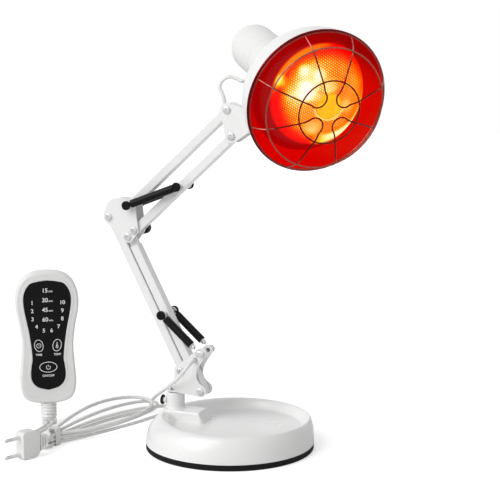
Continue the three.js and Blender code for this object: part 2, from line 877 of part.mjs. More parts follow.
function bulbCap() {
  const front = bulbNeckBack - gap;
  const back = front - capLength;
  return turned([
    [0, back - capTipLength],
    [capTipRadius, back - capTipLength],
    [capTipRadius, back - overrun],
    [capRadius, back],
    [capRadius, front],
    [0, front],
  ], roundSides);
}

function filament() {
  const from = bulbNeckBack;
  const stemEnd = from + stemLength;
  const postEnd = stemEnd + filamentPostLength;
  const ring = new THREE.TorusGeometry(filamentRadius, filamentWire, wireSides, roundSides)
    .translate(0, 0, postEnd);
  return join(
    rod([0, 0, from], [0, 0, stemEnd], stemRadius, boltSides, stemRadius / 2),
    rod([0, 0, stemEnd - overrun], [filamentRadius, 0, postEnd], filamentPostRadius, wireSides),
    rod([0, 0, stemEnd - overrun], [-filamentRadius, 0, postEnd], filamentPostRadius, wireSides),
    ring,
  );
}

// How far forward of the rim a guard wire lies at a given distance from the axis
function guardStep(radius) {
  const rimStep = rimBead + gap + guardWire;
  if (radius >= guardMiddleRadius) {
    const share = (guardRimRadius - radius) / (guardRimRadius - guardMiddleRadius);
    return rimStep + (guardMiddleStep - rimStep) * share;
  }
  const share = (guardMiddleRadius - radius) / (guardMiddleRadius - guardInnerRadius);
  const rise = guardInnerStep - guardMiddleStep;
  return guardMiddleStep + rise * Math.min(share, guardFlatShare);
}

const guardFlatShare = 1.06;

function guardLoop(turn) {
  const rim = guardRimRadius;
  const spread = guardLoopAngle * degree;
  const tipSteps = 8;
  const leg = [];
  const foot = new THREE.Vector2(rim * Math.cos(spread), rim * Math.sin(spread));
  const tipEdge = new THREE.Vector2(guardTipCentre, guardTipRadius);
  const legSteps = 6;
  for (let step = 0; step < legSteps; step += 1) {
    leg.push(foot.clone().lerp(tipEdge, step / legSteps));
  }
  const tip = [];
  for (let step = 0; step <= tipSteps; step += 1) {
    const angle = (1 / 2 + step / tipSteps) * Math.PI;
    tip.push(new THREE.Vector2(
      guardTipCentre + guardTipRadius * Math.cos(angle),
      guardTipRadius * Math.sin(angle),
    ));
  }
  const back = leg.map((point) => new THREE.Vector2(point.x, -point.y)).reverse();
  const flat = [...leg, ...tip, ...back];
  const points = flat.map((point) => [point.x, point.y, guardStep(point.length())]);
  return tube(points, guardWire, guardLoopSteps, wireSides).rotateZ(turn);
}

function wireGuard() {
  const ring = (radius, sides) => new THREE.TorusGeometry(radius, guardWire, wireSides, sides)
    .translate(0, 0, guardStep(radius));
  const loops = Array.from({ length: guardLoopCount }, (_, place) => (
    guardLoop((guardLoopTurn + (place * 360) / guardLoopCount) * degree)
  ));
  return join(
    ring(guardRimRadius, fineSides),
    ring(guardMiddleRadius, fineSides),
    ring(guardInnerRadius, roundSides),
    ...loops,
  );
}

// The lug hangs from the socket housing and sits in the yoke's fork
function shadeLug() {
  const half = lugThickness / 2;
  const shape = bandShape([
    [0, 0, lugRadius],
    [-lugTopBack, lugTopRise, overrun],
    [lugTopFront, lugTopRise, overrun],
  ]);
  const blank = new THREE.ExtrudeGeometry(shape, { depth: lugThickness, bevelEnabled: false })
    .rotateY(-Math.PI / 2)
    .translate(half + tiltPlace.x, tiltPlace.y, tiltPlace.z);
  const neck = rod([0, 0, neckBack], [0, 0, 0], neckRadius + gap, fineSides);
  const bore = rod(
    [tiltPlace.x - lugThickness, tiltPlace.y, tiltPlace.z],
    [tiltPlace.x + lugThickness, tiltPlace.y, tiltPlace.z],
    shankRadius + boreGap,
  );
  return cut(blank, neck, bore);
}

piece('shade', shade(), 'whitePaint', head);
piece('socket_housing', socketHousing(), 'whitePlastic', head);
piece('lampholder', lampholder(), 'ceramic', head);
piece('bulb_glass', bulbGlass(), 'redGlass', head);
piece('bulb_cap', bulbCap(), 'brass', head);
piece('bulb_filament', filament(), 'filament', head);
piece('wire_guard', wireGuard(), 'guardWire', head);
piece('shade_lug', shadeLug(), 'whitePaint', head);

// Springs and their sleeves

function between(from, to, y, distance, fromEnd = false) {
  const length = Math.hypot(to[0] - from[0], to[1] - from[1]);
  const share = (fromEnd ? length - distance : distance) / length;
  return [from[0] + (to[0] - from[0]) * share, y, from[1] + (to[1] - from[1]) * share];
}

function hook([x, z], y) {
  return new THREE.TorusGeometry(hookRadius, hookWire, wireSides, boltSides)
    .rotateX(Math.PI / 2)
    .translate(x, y, z);
}

function spring(from, to, y) {
  const eye = hookRadius;
  return join(
    hook(from, y),
    hook(to, y),
    rod(between(from, to, y, eye), between(from, to, y, eye, true), hookWire, wireSides),
    rod(between(from, to, y, coilInset), between(from, to, y, coilInset, true), coilRadius),
  );
}

function sleeve(from, to, y, [fromInset, toInset]) {
  const start = between(from, to, y, fromInset);
  const end = between(from, to, y, toInset, true);
  const beyond = between(from, to, y, toInset - overrun, true);
  const before = between(from, to, y, fromInset - overrun);
  return cut(rod(start, end, sleeveOuter), rod(before, beyond, sleeveInner));
}

for (const [word, side] of [['front', -1], ['back', 1]]) {
  const y = side * springOffset;
  piece(`lower_spring_${word}`, spring(leverPin, lowerSpringPin, y), 'steel');
  piece(`lower_sleeve_${word}`, sleeve(leverPin, lowerSpringPin, y, lowerSleeveInset), 'blackPlastic');
  piece(`upper_spring_${word}`, spring(elbowPivotLow, upperSpringPin, y), 'steel');
  piece(`upper_sleeve_${word}`, sleeve(elbowPivotLow, upperSpringPin, y, upperSleeveInset), 'blackPlastic');
}

// Handset: a group whose Y is up and whose Z faces the viewer

const handset = new THREE.Group();
handset.rotation.x = Math.PI / 2;
const handsetFrame = new THREE.Group();
handsetFrame.rotation.z = handsetTurn * degree;
handsetFrame.position.set(...handsetPlace, 0);
handsetFrame.add(handset);
lamp.add(handsetFrame);

// Half widths of the handset and of its panel, at shares of their height
const handsetShares = [
  [0.3, 0], [0.62, 0.02], [0.82, 0.07], [0.885, 0.165], [0.845, 0.3], [0.81, 0.44],
  [0.87, 0.58], [0.99, 0.74], [0.93, 0.87], [0.72, 0.95], [0.4, 0.99], [0, 1],
];
const panelShares = [
  [0, 0], [0.42, 0.025], [0.66, 0.075], [0.73, 0.14], [0.7, 0.22], [0.655, 0.31],
  [0.77, 0.52], [0.98, 0.76], [0.97, 0.88], [0.74, 0.965], [0.4, 0.99], [0, 1],
];

// A rounded outline through half widths on both sides of the middle line, drawn in by an inset
function waistedShape(shares, halfWidth, bottom, top, inset, steps = outlineSteps) {
  const right = shares.map(([out, up]) => new THREE.Vector2(halfWidth * out, bottom + (top - bottom) * up));
  const spline = new THREE.SplineCurve(right).getSpacedPoints(steps);
  const drawn = spline.map((point, place) => {
    const before = spline[Math.max(place - 1, 0)];
    const after = spline[Math.min(place + 1, steps)];
    const along = after.clone().sub(before).normalize();
    return new THREE.Vector2(Math.max(point.x - along.y * inset, 0), point.y + along.x * inset);
  });
  const left = drawn.filter((point) => point.x > 0).map((point) => new THREE.Vector2(-point.x, point.y));
  return new THREE.Shape([...drawn, ...left.reverse()]);
}

const outlineSteps = 15;

function handsetShape(inset) {
  return waistedShape(handsetShares, handsetHalfWidth, handsetBottom, handsetTop, inset);
}

function panelShape(inset) {
  return waistedShape(panelShares, panelHalfWidth, panelBottom, panelTop, inset);
}

function oval([halfWidth, halfHeight], [x, y], lean, grow) {
  const shape = new THREE.Shape();
  shape.absellipse(x, y, halfWidth + grow, halfHeight + grow, 0, 2 * Math.PI, false, lean);
  return shape;
}

const buttons = [
  { name: 'time_button', size: smallButton, place: [-smallButtonPlace[0], smallButtonPlace[1]], lean: smallButtonLean },
  { name: 'temp_button', size: smallButton, place: smallButtonPlace, lean: -smallButtonLean },
  { name: 'power_button', size: powerButton, place: [0, powerButtonHeight], lean: 0 },
];

function buttonBlock({ size, place, lean }, grow, from, to) {
  return slab(oval(size, place, lean * degree, grow), from, to);
}

function handsetBack() {
  return cut(
    slab(handsetShape(0), -handsetBackDepth, 0),
    slab(handsetShape(handsetWall), handsetWall - handsetBackDepth, overrun),
  );
}

const panelFloor = handsetFrontDepth - panelThickness - gap;

function handsetFront() {
  const keys = buttons.map((button) => buttonBlock(button, gap, 0, handsetFrontDepth));
  return cut(
    slab(handsetShape(0), gap, handsetFrontDepth),
    slab(handsetShape(handsetWall), gap - overrun, panelFloor - handsetWall),
    slab(panelShape(-gap), panelFloor, handsetFrontDepth + overrun),
    ...keys,
  );
}

function handsetPanel() {
  const from = panelFloor + gap;
  const keys = buttons.map((button) => buttonBlock(button, gap, from - overrun, handsetFrontDepth + overrun));
  return cut(slab(panelShape(0), from, handsetFrontDepth), ...keys);
}

const boardTop = boardLift + boardThickness - handsetWall;

function handsetBoard() {
  return slab(handsetShape(handsetWall + gap), boardTop - boardThickness, boardTop);
}

// The boot is a ribbed sleeve on a square foot, where the two leads come out level
function handsetBoot() {
  const [footWidth, footDepth, footHeight] = bootFoot;
  const top = handsetBottom - gap;
  const profile = [[0, footHeight - overrun]];
  const pitch = (top - footHeight) / bootRibCount;
  profile.push([bootRadius - bootRib, footHeight - overrun]);
  for (let rib = 0; rib < bootRibCount; rib += 1) {
    const from = footHeight + rib * pitch;
    profile.push([bootRadius - bootRib, from]);
    profile.push([bootRadius, from + pitch * ribShares[0]]);
    profile.push([bootRadius, from + pitch * ribShares[1]]);
  }
  profile.push([bootRadius - bootRib, top], [0, top]);
  const ribs = turned(profile, bootSides).rotateX(-Math.PI / 2);
  const foot = box([-footWidth / 2, 0, -footDepth / 2], [footWidth / 2, footHeight, footDepth / 2]);
  return join(ribs, foot);
}

const ribShares = [0.25, 0.75];
const bootSides = 10;

piece('handset_back', handsetBack(), 'whitePlastic', handset);
piece('handset_front', handsetFront(), 'whitePlastic', handset);
piece('handset_panel', handsetPanel(), 'blackPanel', handset);
piece('handset_board', handsetBoard(), 'board', handset);
piece('handset_boot', handsetBoot(), 'whitePlastic', handset);
for (const button of buttons) {
  const from = boardTop + buttonTravel + gap;
  piece(button.name, buttonBlock(button, 0, from, handsetFrontDepth + buttonProud), 'blackPanel', handset);
}

// Plug: a group whose X points along the pins, lying on its narrow edge

const plug = new THREE.Group();
plug.position.set(...plugRear, plugHalfHeight);
plug.rotation.z = plugTurn * degree;
lamp.add(plug);

// Half heights of the plug, at shares of its length
const plugShares = [[0, 0.27], [0.14, 0.3], [0.26, 0.5], [0.42, 0.86], [0.56, 1], [0.9, 1], [1, 0.86]];

function plugBody() {
  const edge = plugShares.map(([along, out]) => new THREE.Vector2(plugLength * along, plugHalfHeight * out));
  const under = edge.map((point) => new THREE.Vector2(point.x, -point.y));
  return plate(new THREE.Shape([...under, ...edge.reverse()]), -plugThickness / 2, plugThickness / 2);
}

function plugPin(side) {
  const from = plugLength + gap;
  const height = side * plugPinSpread;
  return rod([from, 0, height], [from + plugPinLength, 0, height], plugPinRadius);
}

piece('plug_body', plugBody(), 'whitePlastic', plug);
piece('plug_pin_top', plugPin(1), 'steel', plug);
piece('plug_pin_bottom', plugPin(-1), 'steel', plug);

// Hank: loops tied at one end. Its own X runs from the tie to the far end, and each loop lies
// one layer below the one before it.

function hankLevel(layer) {
  return hankFloor + hankLayer * layer;
}

// One loop from the tie out and back. It leaves on one side and comes back on the other, where it
// drops to the next layer over the last part of its run.
function hankLoop({ length, width, lean }, layer, drop, steps = loopSteps) {
  const points = [];
  for (let step = 1; step < steps; step += 1) {
    const turn = (step / steps) * 2 * Math.PI;
    const along = (length * (1 - Math.cos(turn))) / 2;
    const side = turn < Math.PI ? 1 : -1;
    const out = width * Math.sin(turn) * Math.sin(turn / 2) + side * hankSlot * Math.cos(turn / 2) ** 2;
    const tilt = lean * degree * Math.sin(turn / 2) ** 2;
    const late = Math.max(0, (step / steps - dropShares[0]) / (dropShares[1] - dropShares[0]));
    points.push([
      tieLength / 2 + along * Math.cos(tilt) - out * Math.sin(tilt),
      out * Math.cos(tilt) + along * Math.sin(tilt),
      hankLevel(layer) - drop * hankLayer * Math.min(late, 1),
    ]);
  }
  return points;
}

const dropShares = [0.66, 0.86];

// The straight run through the tie, on one side of its middle
function tieRun(side, layer, outward) {
  const ends = [-tieLength / 2, 0, tieLength / 2];
  const places = outward ? ends : [...ends].reverse();
  return places.map((along) => [along, side * hankSlot, hankLevel(layer)]);
}

// The small turn behind the tie, from one side to the other
function tieTurn(layer) {
  const points = [];
  const steps = 8;
  for (let step = 1; step < steps; step += 1) {
    const turn = (step / steps) * 2 * Math.PI;
    const along = (hankTurnLength * (1 - Math.cos(turn))) / 2;
    const out = -hankTurnWidth * Math.sin(turn) * Math.sin(turn / 2) - hankSlot * Math.cos(turn / 2);
    points.push([-tieLength / 2 - along, out, hankLevel(layer)]);
  }
  return points;
}

const hankFrame = new THREE.Matrix4()
  .makeRotationZ(hankTurn * degree)
  .setPosition(hankPlace[0], hankPlace[1], 0);

function fromHank(points) {
  return points.map((point) => new THREE.Vector3(...point).applyMatrix4(hankFrame).toArray());
}

// Where the two leads leave the foot of the boot, level and square to its face
const bootFace = bootFoot[1] / 2 + gap;
const leadSpread = 3.4;
const leadHeight = 4.2;
const handsetSide = [Math.cos(handsetTurn * degree), Math.sin(handsetTurn * degree)];

function bootExit(side, out) {
  const across = side * leadSpread;
  return [
    handsetPlace[0] + across * handsetSide[0] + out * handsetSide[1],
    handsetPlace[1] + across * handsetSide[1] - out * handsetSide[0],
    leadHeight,
  ];
}

const plugBack = new THREE.Vector3(Math.cos(plugTurn * degree), Math.sin(plugTurn * degree), 0);

function plugExit(out) {
  return [plugRear[0] - plugBack.x * out, plugRear[1] - plugBack.y * out, plugHalfHeight];
}

// Free ends of the leads, each a list of places chosen by hand
const plugLeadRoute = [[-178.3, -95.5, 16.9], [-184.6, -86.8, 17.4]];
const mainsLeadRoute = [
  [-186.5, -92, 7.9], [-193, -103, 7.9], [-203, -109, 7.4], [-214, -104.5, 6.4], [-222.5, -87, 5.4],
  [-224.5, -64, 4.5], [-225.5, -40, 4.3], [-228.8, -21, 4.2],
];
const lampLeadRoute = [
  [-223, -18.5, 4.2], [-219.8, -37, 4.3], [-218.5, -58, 4.5], [-216, -78, 5.4], [-211.5, -92.5, 6.4],
  [-204.8, -98.8, 7.4], [-197, -96.3, 7.9], [-191, -88, 7.9],
];
const lampTailRoute = [
  [-148.5, 95, 3.1], [-153, 104, 4], [-154.5, 110.5, 9], [-147, 106, 17], [-136, 90, 24], [-123, 66, 32],
  [-108, 40, 41], [-92, 15, 51], [-77, -6, 60.5], [-64, -19, 70], [-52, -26.5, 80], [-43.5, -28, 89.5],
  [-39.5, -24, 95.5],
];

function mainsHank() {
  return [
    plugExit(gap),
    plugExit(gap + 2 * cordRadius),
    ...plugLeadRoute,
    ...fromHank([
      ...tieRun(1, hankTop, true),
      ...hankLoop(hankLoops.first, hankTop, 1),
      ...tieRun(-1, 2, false),
      ...tieTurn(2),
      ...tieRun(1, 2, true),
      ...hankLoop(hankLoops.second, 2, 1),
      ...tieRun(-1, 1, false),
    ]),
    ...mainsLeadRoute,
    bootExit(-1, bootFace + 2 * cordRadius),
    bootExit(-1, bootFace),
  ];
}

function lampHank() {
  const runOut = hankLoop(hankLoops.third, 0, 0).slice(0, loopSteps * runOutShare);
  return [
    bootExit(1, bootFace),
    bootExit(1, bootFace + 2 * cordRadius),
    ...lampLeadRoute,
    ...fromHank([
      ...tieRun(1, 1, true),
      ...hankLoop(hankLoops.third, 1, 1),
      ...tieRun(-1, 0, false),
      ...tieTurn(0),
      ...tieRun(1, 0, true),
      ...runOut,
    ]),
  ];
}

// How much of its last loop the lamp's lead makes before it leaves the hank
const runOutShare = 0.375;
const mainsHankSteps = 144;
const lampHankSteps = 120;
const lampTailSteps = 30;
const headLeadSteps = 18;
const cordSides = 8;

// Places of the head's lead above the arm, between its two square ends
const headLeadRoute = [
  [-10, 0, 397], [-13, 0, 402.7], [-11.9, 0, 408], [-8.1, 0, 412.7], [-2.1, 1, 415.2], [5.4, 2.5, 413.5],
  [12.5, 3.5, 410.6],
];
const headLeadExit = [-7.4, 384];
const headLeadAlong = -118;
const headLeadTurn = 215;

// The lead leaves the top edge of the bracket and enters the side of the socket housing
function headLead() {
  const out = new THREE.Vector3(
    Math.cos(headLeadTurn * degree),
    Math.sin(headLeadTurn * degree),
    0,
  );
  const at = (radius) => out.clone().multiplyScalar(radius)
    .add(new THREE.Vector3(0, 0, headLeadAlong))
    .applyQuaternion(head.quaternion)
    .add(head.position)
    .toArray();
  const surface = neckRadius + gap;
  return [
    [headLeadExit[0], 0, headLeadExit[1]],
    [headLeadExit[0], 0, headLeadExit[1] + 2 * cordRadius],
    ...headLeadRoute,
    at(surface + 2 * cordRadius),
    at(surface),
  ];
}

// Least distance between two stretches of one route that lie apart along it, less a diameter
function leastGap(points, others = points) {
  const curve = new THREE.CatmullRomCurve3(points.map((point) => new THREE.Vector3(...point)));
  const otherCurve = new THREE.CatmullRomCurve3(others.map((point) => new THREE.Vector3(...point)));
  const sample = curve.getSpacedPoints(points.length * gapSamples);
  const otherSample = otherCurve.getSpacedPoints(others.length * gapSamples);
  const apart = Math.ceil(gapSkip / sample[0].distanceTo(sample[1]));
  let least = Infinity;
  sample.forEach((point, place) => {
    otherSample.forEach((other, otherPlace) => {
      if (points === others && otherPlace - place < apart) return;
      least = Math.min(least, point.distanceTo(other));
    });
  });
  return least - 2 * cordRadius;
}

const gapSamples = 6;
const gapSkip = 12;

function cordTie() {
  const half = tieBandLength / 2;
  const side = hankSlot + cordRadius + tieClearance;
  const top = hankLevel(hankTop) + cordRadius + tieClearance;
  const band = cut(
    box([-half, -side - tieWall, 0], [half, side + tieWall, top + tieWall]),
    box([-tieLength, -side, tieWall], [tieLength, side, top]),
  );
  return band.applyMatrix4(hankFrame);
}

const mainsPoints = mainsHank();
const lampPoints = lampHank();
console.log('least gap of the mains hank to itself, mm', leastGap(mainsPoints).toFixed(2));
console.log('least gap of the lamp hank to itself, mm', leastGap(lampPoints).toFixed(2));
console.log('least gap between the two hanks, mm', leastGap(mainsPoints, lampPoints).toFixed(2));

// The lamp's lead from the hank to its hole in the bracket
function lampTail() {
  const start = new THREE.Vector3(...lampPoints.at(-1));
  const along = start.clone().sub(new THREE.Vector3(...lampPoints.at(-2))).normalize();
  const from = start.clone().addScaledVector(along, gap);
  const ahead = start.clone().addScaledVector(along, gap + 2 * cordRadius);
  const face = -plateOuter - gap;
  return [
    from.toArray(),
    ahead.toArray(),
    ...lampTailRoute,
    [leadHole[0], face - 2 * cordRadius, leadHole[1]],
    [leadHole[0], face, leadHole[1]],
  ];
}

piece('lamp_tail', tube(lampTail(), cordRadius, lampTailSteps, cordSides), 'cord');
piece('head_lead', tube(headLead(), cordRadius, headLeadSteps, cordSides), 'cord');
piece('mains_hank', tube(mainsPoints, cordRadius, mainsHankSteps, loopSides), 'cord');
piece('lamp_hank', tube(lampPoints, cordRadius, lampHankSteps, loopSides), 'cord');
piece('cord_tie', cordTie(), 'cord');

export default lamp;
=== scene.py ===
import math

import bmesh
import bpy
from mathutils import Matrix, Vector


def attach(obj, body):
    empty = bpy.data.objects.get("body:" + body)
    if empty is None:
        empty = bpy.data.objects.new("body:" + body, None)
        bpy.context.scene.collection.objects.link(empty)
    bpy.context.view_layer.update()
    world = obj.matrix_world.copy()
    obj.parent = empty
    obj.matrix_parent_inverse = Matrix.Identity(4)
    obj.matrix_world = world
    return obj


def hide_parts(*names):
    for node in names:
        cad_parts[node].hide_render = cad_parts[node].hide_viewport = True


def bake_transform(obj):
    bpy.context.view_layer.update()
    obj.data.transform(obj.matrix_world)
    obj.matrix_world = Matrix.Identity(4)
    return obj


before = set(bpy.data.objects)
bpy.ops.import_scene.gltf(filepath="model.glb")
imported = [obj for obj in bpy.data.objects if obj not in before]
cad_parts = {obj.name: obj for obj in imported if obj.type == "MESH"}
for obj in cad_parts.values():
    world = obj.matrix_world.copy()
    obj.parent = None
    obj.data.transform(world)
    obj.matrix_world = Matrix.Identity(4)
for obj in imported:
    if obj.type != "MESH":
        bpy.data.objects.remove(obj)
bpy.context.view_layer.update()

# Sizes are in millimetres here and become metres as each piece is finished
MM = 0.001

# Camera, at the photograph's angle
CAMERA_PLACE = (576.31, -1342.535, 439.802)
CAMERA_LOOK = (-0.376643, 0.914825, -0.145728)
CAMERA_LENS, CAMERA_SENSOR = 95.78, 36
CAMERA_CLIP = (0.05, 20)
CAMERA_ROLL = 0.004

# Arm plane, X and Z: pivots, the reach of each pair of bars, and how far along its bar each spring's pin sits
POST_X = -68
PIVOT_LEFT = (-57.1, 83.4)
PIVOT_RIGHT = (-32.8, 62.1)
LOWER_REACH = (-90.1, 171.8)
ELBOW_LOW = (-120.5, 270.2)
ELBOW_HIGH = (-115.3, 241.4)
UPPER_REACH = (120, 109.6)
LOWER_PIN_SHARE, UPPER_PIN_SHARE = 0.497, 0.477
LEVER_PIN = (-30.7, 106.8)
LEAD_HOLE = (-39, 97.5)
ELBOW_CROWN = (-136.5, 262.5)
NOSE = (34, 370)
TILT_HEIGHT = 390
SPRING_Y = 14.4
PLATE_IN, PLATE_OUT = 8, 9.6
GAP = 0.3

# Head: rim centre, yaw and pitch of the bowl's axis, and how far out of the rim's plane the bulb's face lies
HEAD_CENTRE = Vector((118.9, -54.3, 392.1))
HEAD_YAW, HEAD_PITCH = math.radians(-45.1), math.radians(-18.3)
SIDE_TURN = HEAD_YAW + math.pi / 2
BULB_FACE = -4

# Handset, plug and hank
HANDSET_PLACE = (-237, 0.4)
HANDSET_TURN = math.radians(34)
PLUG_REAR = (-178.5, -106)
PLUG_TURN = math.radians(250.5)
PLUG_HALF = 15.5
HANK_PLACE = (-185, -74)
HANK_TURN = math.radians(75)
CORD_RADIUS = 2


def reached(start, reach, share=1.0):
    return (start[0] + reach[0] * share, start[1] + reach[1] * share)


ELBOW_LEFT = reached(PIVOT_LEFT, LOWER_REACH)
ELBOW_RIGHT = reached(PIVOT_RIGHT, LOWER_REACH)
HEAD_TOP = reached(ELBOW_LOW, UPPER_REACH)
HEAD_BOTTOM = reached(ELBOW_HIGH, UPPER_REACH)
LOWER_PIN = reached(PIVOT_RIGHT, LOWER_REACH, LOWER_PIN_SHARE)
UPPER_PIN = reached(ELBOW_HIGH, UPPER_REACH, UPPER_PIN_SHARE)

HEAD_AXIS = Vector((
    math.cos(HEAD_YAW) * math.cos(HEAD_PITCH),
    math.sin(HEAD_YAW) * math.cos(HEAD_PITCH),
    math.sin(HEAD_PITCH),
))
HEAD_SIDE = Vector((math.cos(SIDE_TURN), math.sin(SIDE_TURN), 0))
HEAD_UP = HEAD_AXIS.cross(HEAD_SIDE)
HEAD = Matrix.Translation(HEAD_CENTRE) @ Matrix((HEAD_SIDE, HEAD_UP, HEAD_AXIS)).transposed().to_4x4()
HANDSET = (
    Matrix.Translation((*HANDSET_PLACE, 0))
    @ Matrix.Rotation(HANDSET_TURN, 4, "Z")
    @ Matrix.Rotation(math.pi / 2, 4, "X")
)
PLUG = Matrix.Translation((*PLUG_REAR, PLUG_HALF)) @ Matrix.Rotation(PLUG_TURN, 4, "Z")
HANK = Matrix.Translation((*HANK_PLACE, 0)) @ Matrix.Rotation(HANK_TURN, 4, "Z")


# Camera


def add_camera():
    data = bpy.data.cameras.new("camera")
    data.lens = CAMERA_LENS
    data.sensor_width = CAMERA_SENSOR
    data.clip_start, data.clip_end = CAMERA_CLIP
    holder = bpy.data.objects.new("camera", data)
    turn = Vector(CAMERA_LOOK).to_track_quat("-Z", "Y").to_matrix().to_4x4()
    holder.matrix_world = (
        Matrix.Translation(Vector(CAMERA_PLACE) * MM) @ turn @ Matrix.Rotation(CAMERA_ROLL, 4, "Z")
    )
    bpy.context.scene.collection.objects.link(holder)
    bpy.context.scene.camera = holder


add_camera()


# Materials

# The depth of a finish's fine relief in metres, and how far from the bowl's axis the guard's painted reflection
# reaches
FINE_RELIEF = 0.0001
REFLECTION_REACH = 80


class Value:
    """A node's output, on which sums and products add their Math nodes."""

    def __init__(self, finish, socket):
        self.finish = finish
        self.socket = socket

    def math(self, operation, *values):
        return self.finish.node("Math", {"operation": operation}, dict(enumerate(values)))

    def __add__(self, other):
        return self.math("ADD", self, other)

    def __sub__(self, other):
        return self.math("SUBTRACT", self, other)

    def __rsub__(self, other):
        return self.math("SUBTRACT", other, self)

    def __mul__(self, other):
        return self.math("MULTIPLY", self, other)

    def __truediv__(self, other):
        return self.math("DIVIDE", self, other)

    def __pow__(self, other):
        return self.math("POWER", self, other)

    def __abs__(self):
        return self.math("ABSOLUTE", self)

    def wave(self):
        return self.math("COSINE", self)

    __radd__ = __add__
    __rmul__ = __mul__


class Finish:
    """A material with one Principled shader, and a method that adds any other node."""

    def __init__(self, name, **sockets):
        self.material = bpy.data.materials.new(name)
        self.material.use_nodes = True
        self.tree = self.material.node_tree
        self.shader = self.tree.nodes["Principled BSDF"]
        self.set(**sockets)

    def set(self, **sockets):
        for name, value in sockets.items():
            self.put(self.shader.inputs[name.replace("_", " ")], value)

    def put(self, socket, value):
        if isinstance(value, Value):
            self.tree.links.new(value.socket, socket)
        elif isinstance(value, (tuple, list)) and len(value) == 3 and socket.type == "RGBA":
            socket.default_value = (*value, 1)
        else:
            socket.default_value = value

    def node(self, kind, settings=None, inputs=None, output=0):
        made = self.tree.nodes.new("ShaderNode" + kind)
        for name, value in (settings or {}).items():
            if name == "stops":
                elements = made.color_ramp.elements
                while len(elements) < len(value):
                    elements.new(0.5)
                for element, (place, colour) in zip(elements, value):
                    element.position = place
                    element.color = (*colour, 1)
            else:
                setattr(made, name, value)
        for name, value in (inputs or {}).items():
            self.put(made.inputs[name], value)
        return Value(self, made.outputs[output])

    def place(self):
        return self.node("TexCoord", output="Object")

    def noise(self, scale, detail=2.0, rough=0.5, at=None):
        sockets = {"Vector": at or self.place(), "Scale": scale, "Detail": detail, "Roughness": rough}
        return self.node("TexNoise", {}, sockets)

    def blend(self, factor, first, second):
        return self.node("Mix", {"data_type": "RGBA"}, {0: factor, 6: first, 7: second}, output=2)

    def spread(self, value, low, high, to_low, to_high, kind="LINEAR"):
        return self.node(
            "MapRange", {"interpolation_type": kind},
            {"Value": value, "From Min": low, "From Max": high, "To Min": to_low, "To Max": to_high},
        )

    def soft_step(self, value, low, high, to_low=0, to_high=1):
        return self.spread(value, low, high, to_low, to_high, "SMOOTHSTEP")

    def vary(self, noise, low, high):
        """A level that follows a noise, whose values lie mostly between 0.3 and 0.7."""
        return self.spread(noise, 0.3, 0.7, low, high)

    def tint(self, pattern, low, high, first, second, most=1):
        """A colour that turns to a second one as a pattern rises from one level to another."""
        return self.blend(self.spread(pattern, low, high, 0, most), first, second)

    def ramp(self, value, *stops):
        return self.node("ValToRGB", {"stops": stops}, {0: value})

    def bump(self, height, strength, distance):
        return self.node("Bump", {}, {"Strength": strength, "Distance": distance, "Height": height})


def dimmed(colour, share):
    return tuple(part * share for part in colour)


def lifted(colour, amount):
    return tuple(part + amount for part in colour)


def enamel(name, colour):
    """Sprayed enamel: a faint orange peel, with slow changes of tone and gloss."""
    finish = Finish(name, Coat_Roughness=0.12)
    cloud, peel = finish.noise(14, 3), finish.noise(900, 2)
    finish.set(
        Base_Color=finish.tint(cloud, 0.35, 0.7, colour, dimmed(colour, 0.955)),
        Roughness=finish.vary(cloud, 0.25, 0.37),
        Coat_Weight=finish.vary(cloud, 0.5, 0.3),
        Normal=finish.bump(peel, 0.12, FINE_RELIEF),
    )
    return finish.material


def moulded(name, colour, roughness, grain, shine=0.5):
    """Moulded plastic: a fine spark-eroded grain and slightly uneven gloss."""
    finish = Finish(name, Specular_IOR_Level=shine)
    cloud, texture = finish.noise(22, 2), finish.noise(2600, 3)
    finish.set(
        Base_Color=finish.tint(cloud, 0.35, 0.7, colour, dimmed(colour, 0.94)),
        Roughness=finish.vary(texture, roughness - 0.06, roughness + 0.08),
        Normal=finish.bump(texture, grain, FINE_RELIEF),
    )
    return finish.material


def metal(name, colour, roughness=0.3):
    """Drawn or plated metal: long fine streaks, brighter and duller in patches."""
    finish = Finish(name, Metallic=1.0)
    stretched = finish.node("Mapping", {}, {"Vector": finish.place(), "Scale": (60, 60, 1800)})
    streaks, cloud = finish.noise(1, 3, at=stretched), finish.noise(90, 3)
    finish.set(
        Base_Color=finish.tint(cloud, 0.35, 0.75, colour, dimmed(colour, 0.78)),
        Roughness=finish.spread(streaks, 0.25, 0.75, roughness - 0.1, roughness + 0.12),
        Normal=finish.bump(streaks, 0.4, 0.4 * FINE_RELIEF),
    )
    return finish.material


def moulded_rubber(name, colour):
    """Dull rubber, with pores and a little dust."""
    finish = Finish(name, Specular_IOR_Level=0.2)
    dust, pores = finish.noise(60, 4, 0.6), finish.noise(3200, 2)
    finish.set(
        Base_Color=finish.tint(dust, 0.45, 0.75, colour, lifted(colour, 0.006), 0.8),
        Roughness=finish.vary(dust, 0.62, 0.82),
        Normal=finish.bump(pores, 0.3, FINE_RELIEF),
    )
    return finish.material


def head_plane(finish):
    """Places in millimetres on the bowl's own axes: across, up and out of the bowl."""
    centre, along = {0: finish.place(), 1: tuple(HEAD_CENTRE * MM)}, {"operation": "DOT_PRODUCT"}
    away = finish.node("VectorMath", {"operation": "SUBTRACT"}, centre)
    return [
        finish.node("VectorMath", along, {0: away, 1: tuple(axis / MM)}, output="Value")
        for axis in (HEAD_SIDE, HEAD_UP, HEAD_AXIS)
    ]


def distance(across, up, centre=(0, 0)):
    """How far places on the bowl's plane lie from a centre."""
    right, rise = across - centre[0], up - centre[1]
    return (right * right + rise * rise) ** 0.5


def spot(finish, across, up, centre, inner, outer, level=1.0):
    """A soft spot on the bowl's plane, full within one radius and gone beyond another."""
    return finish.soft_step(distance(across, up, centre), inner, outer, level, 0)


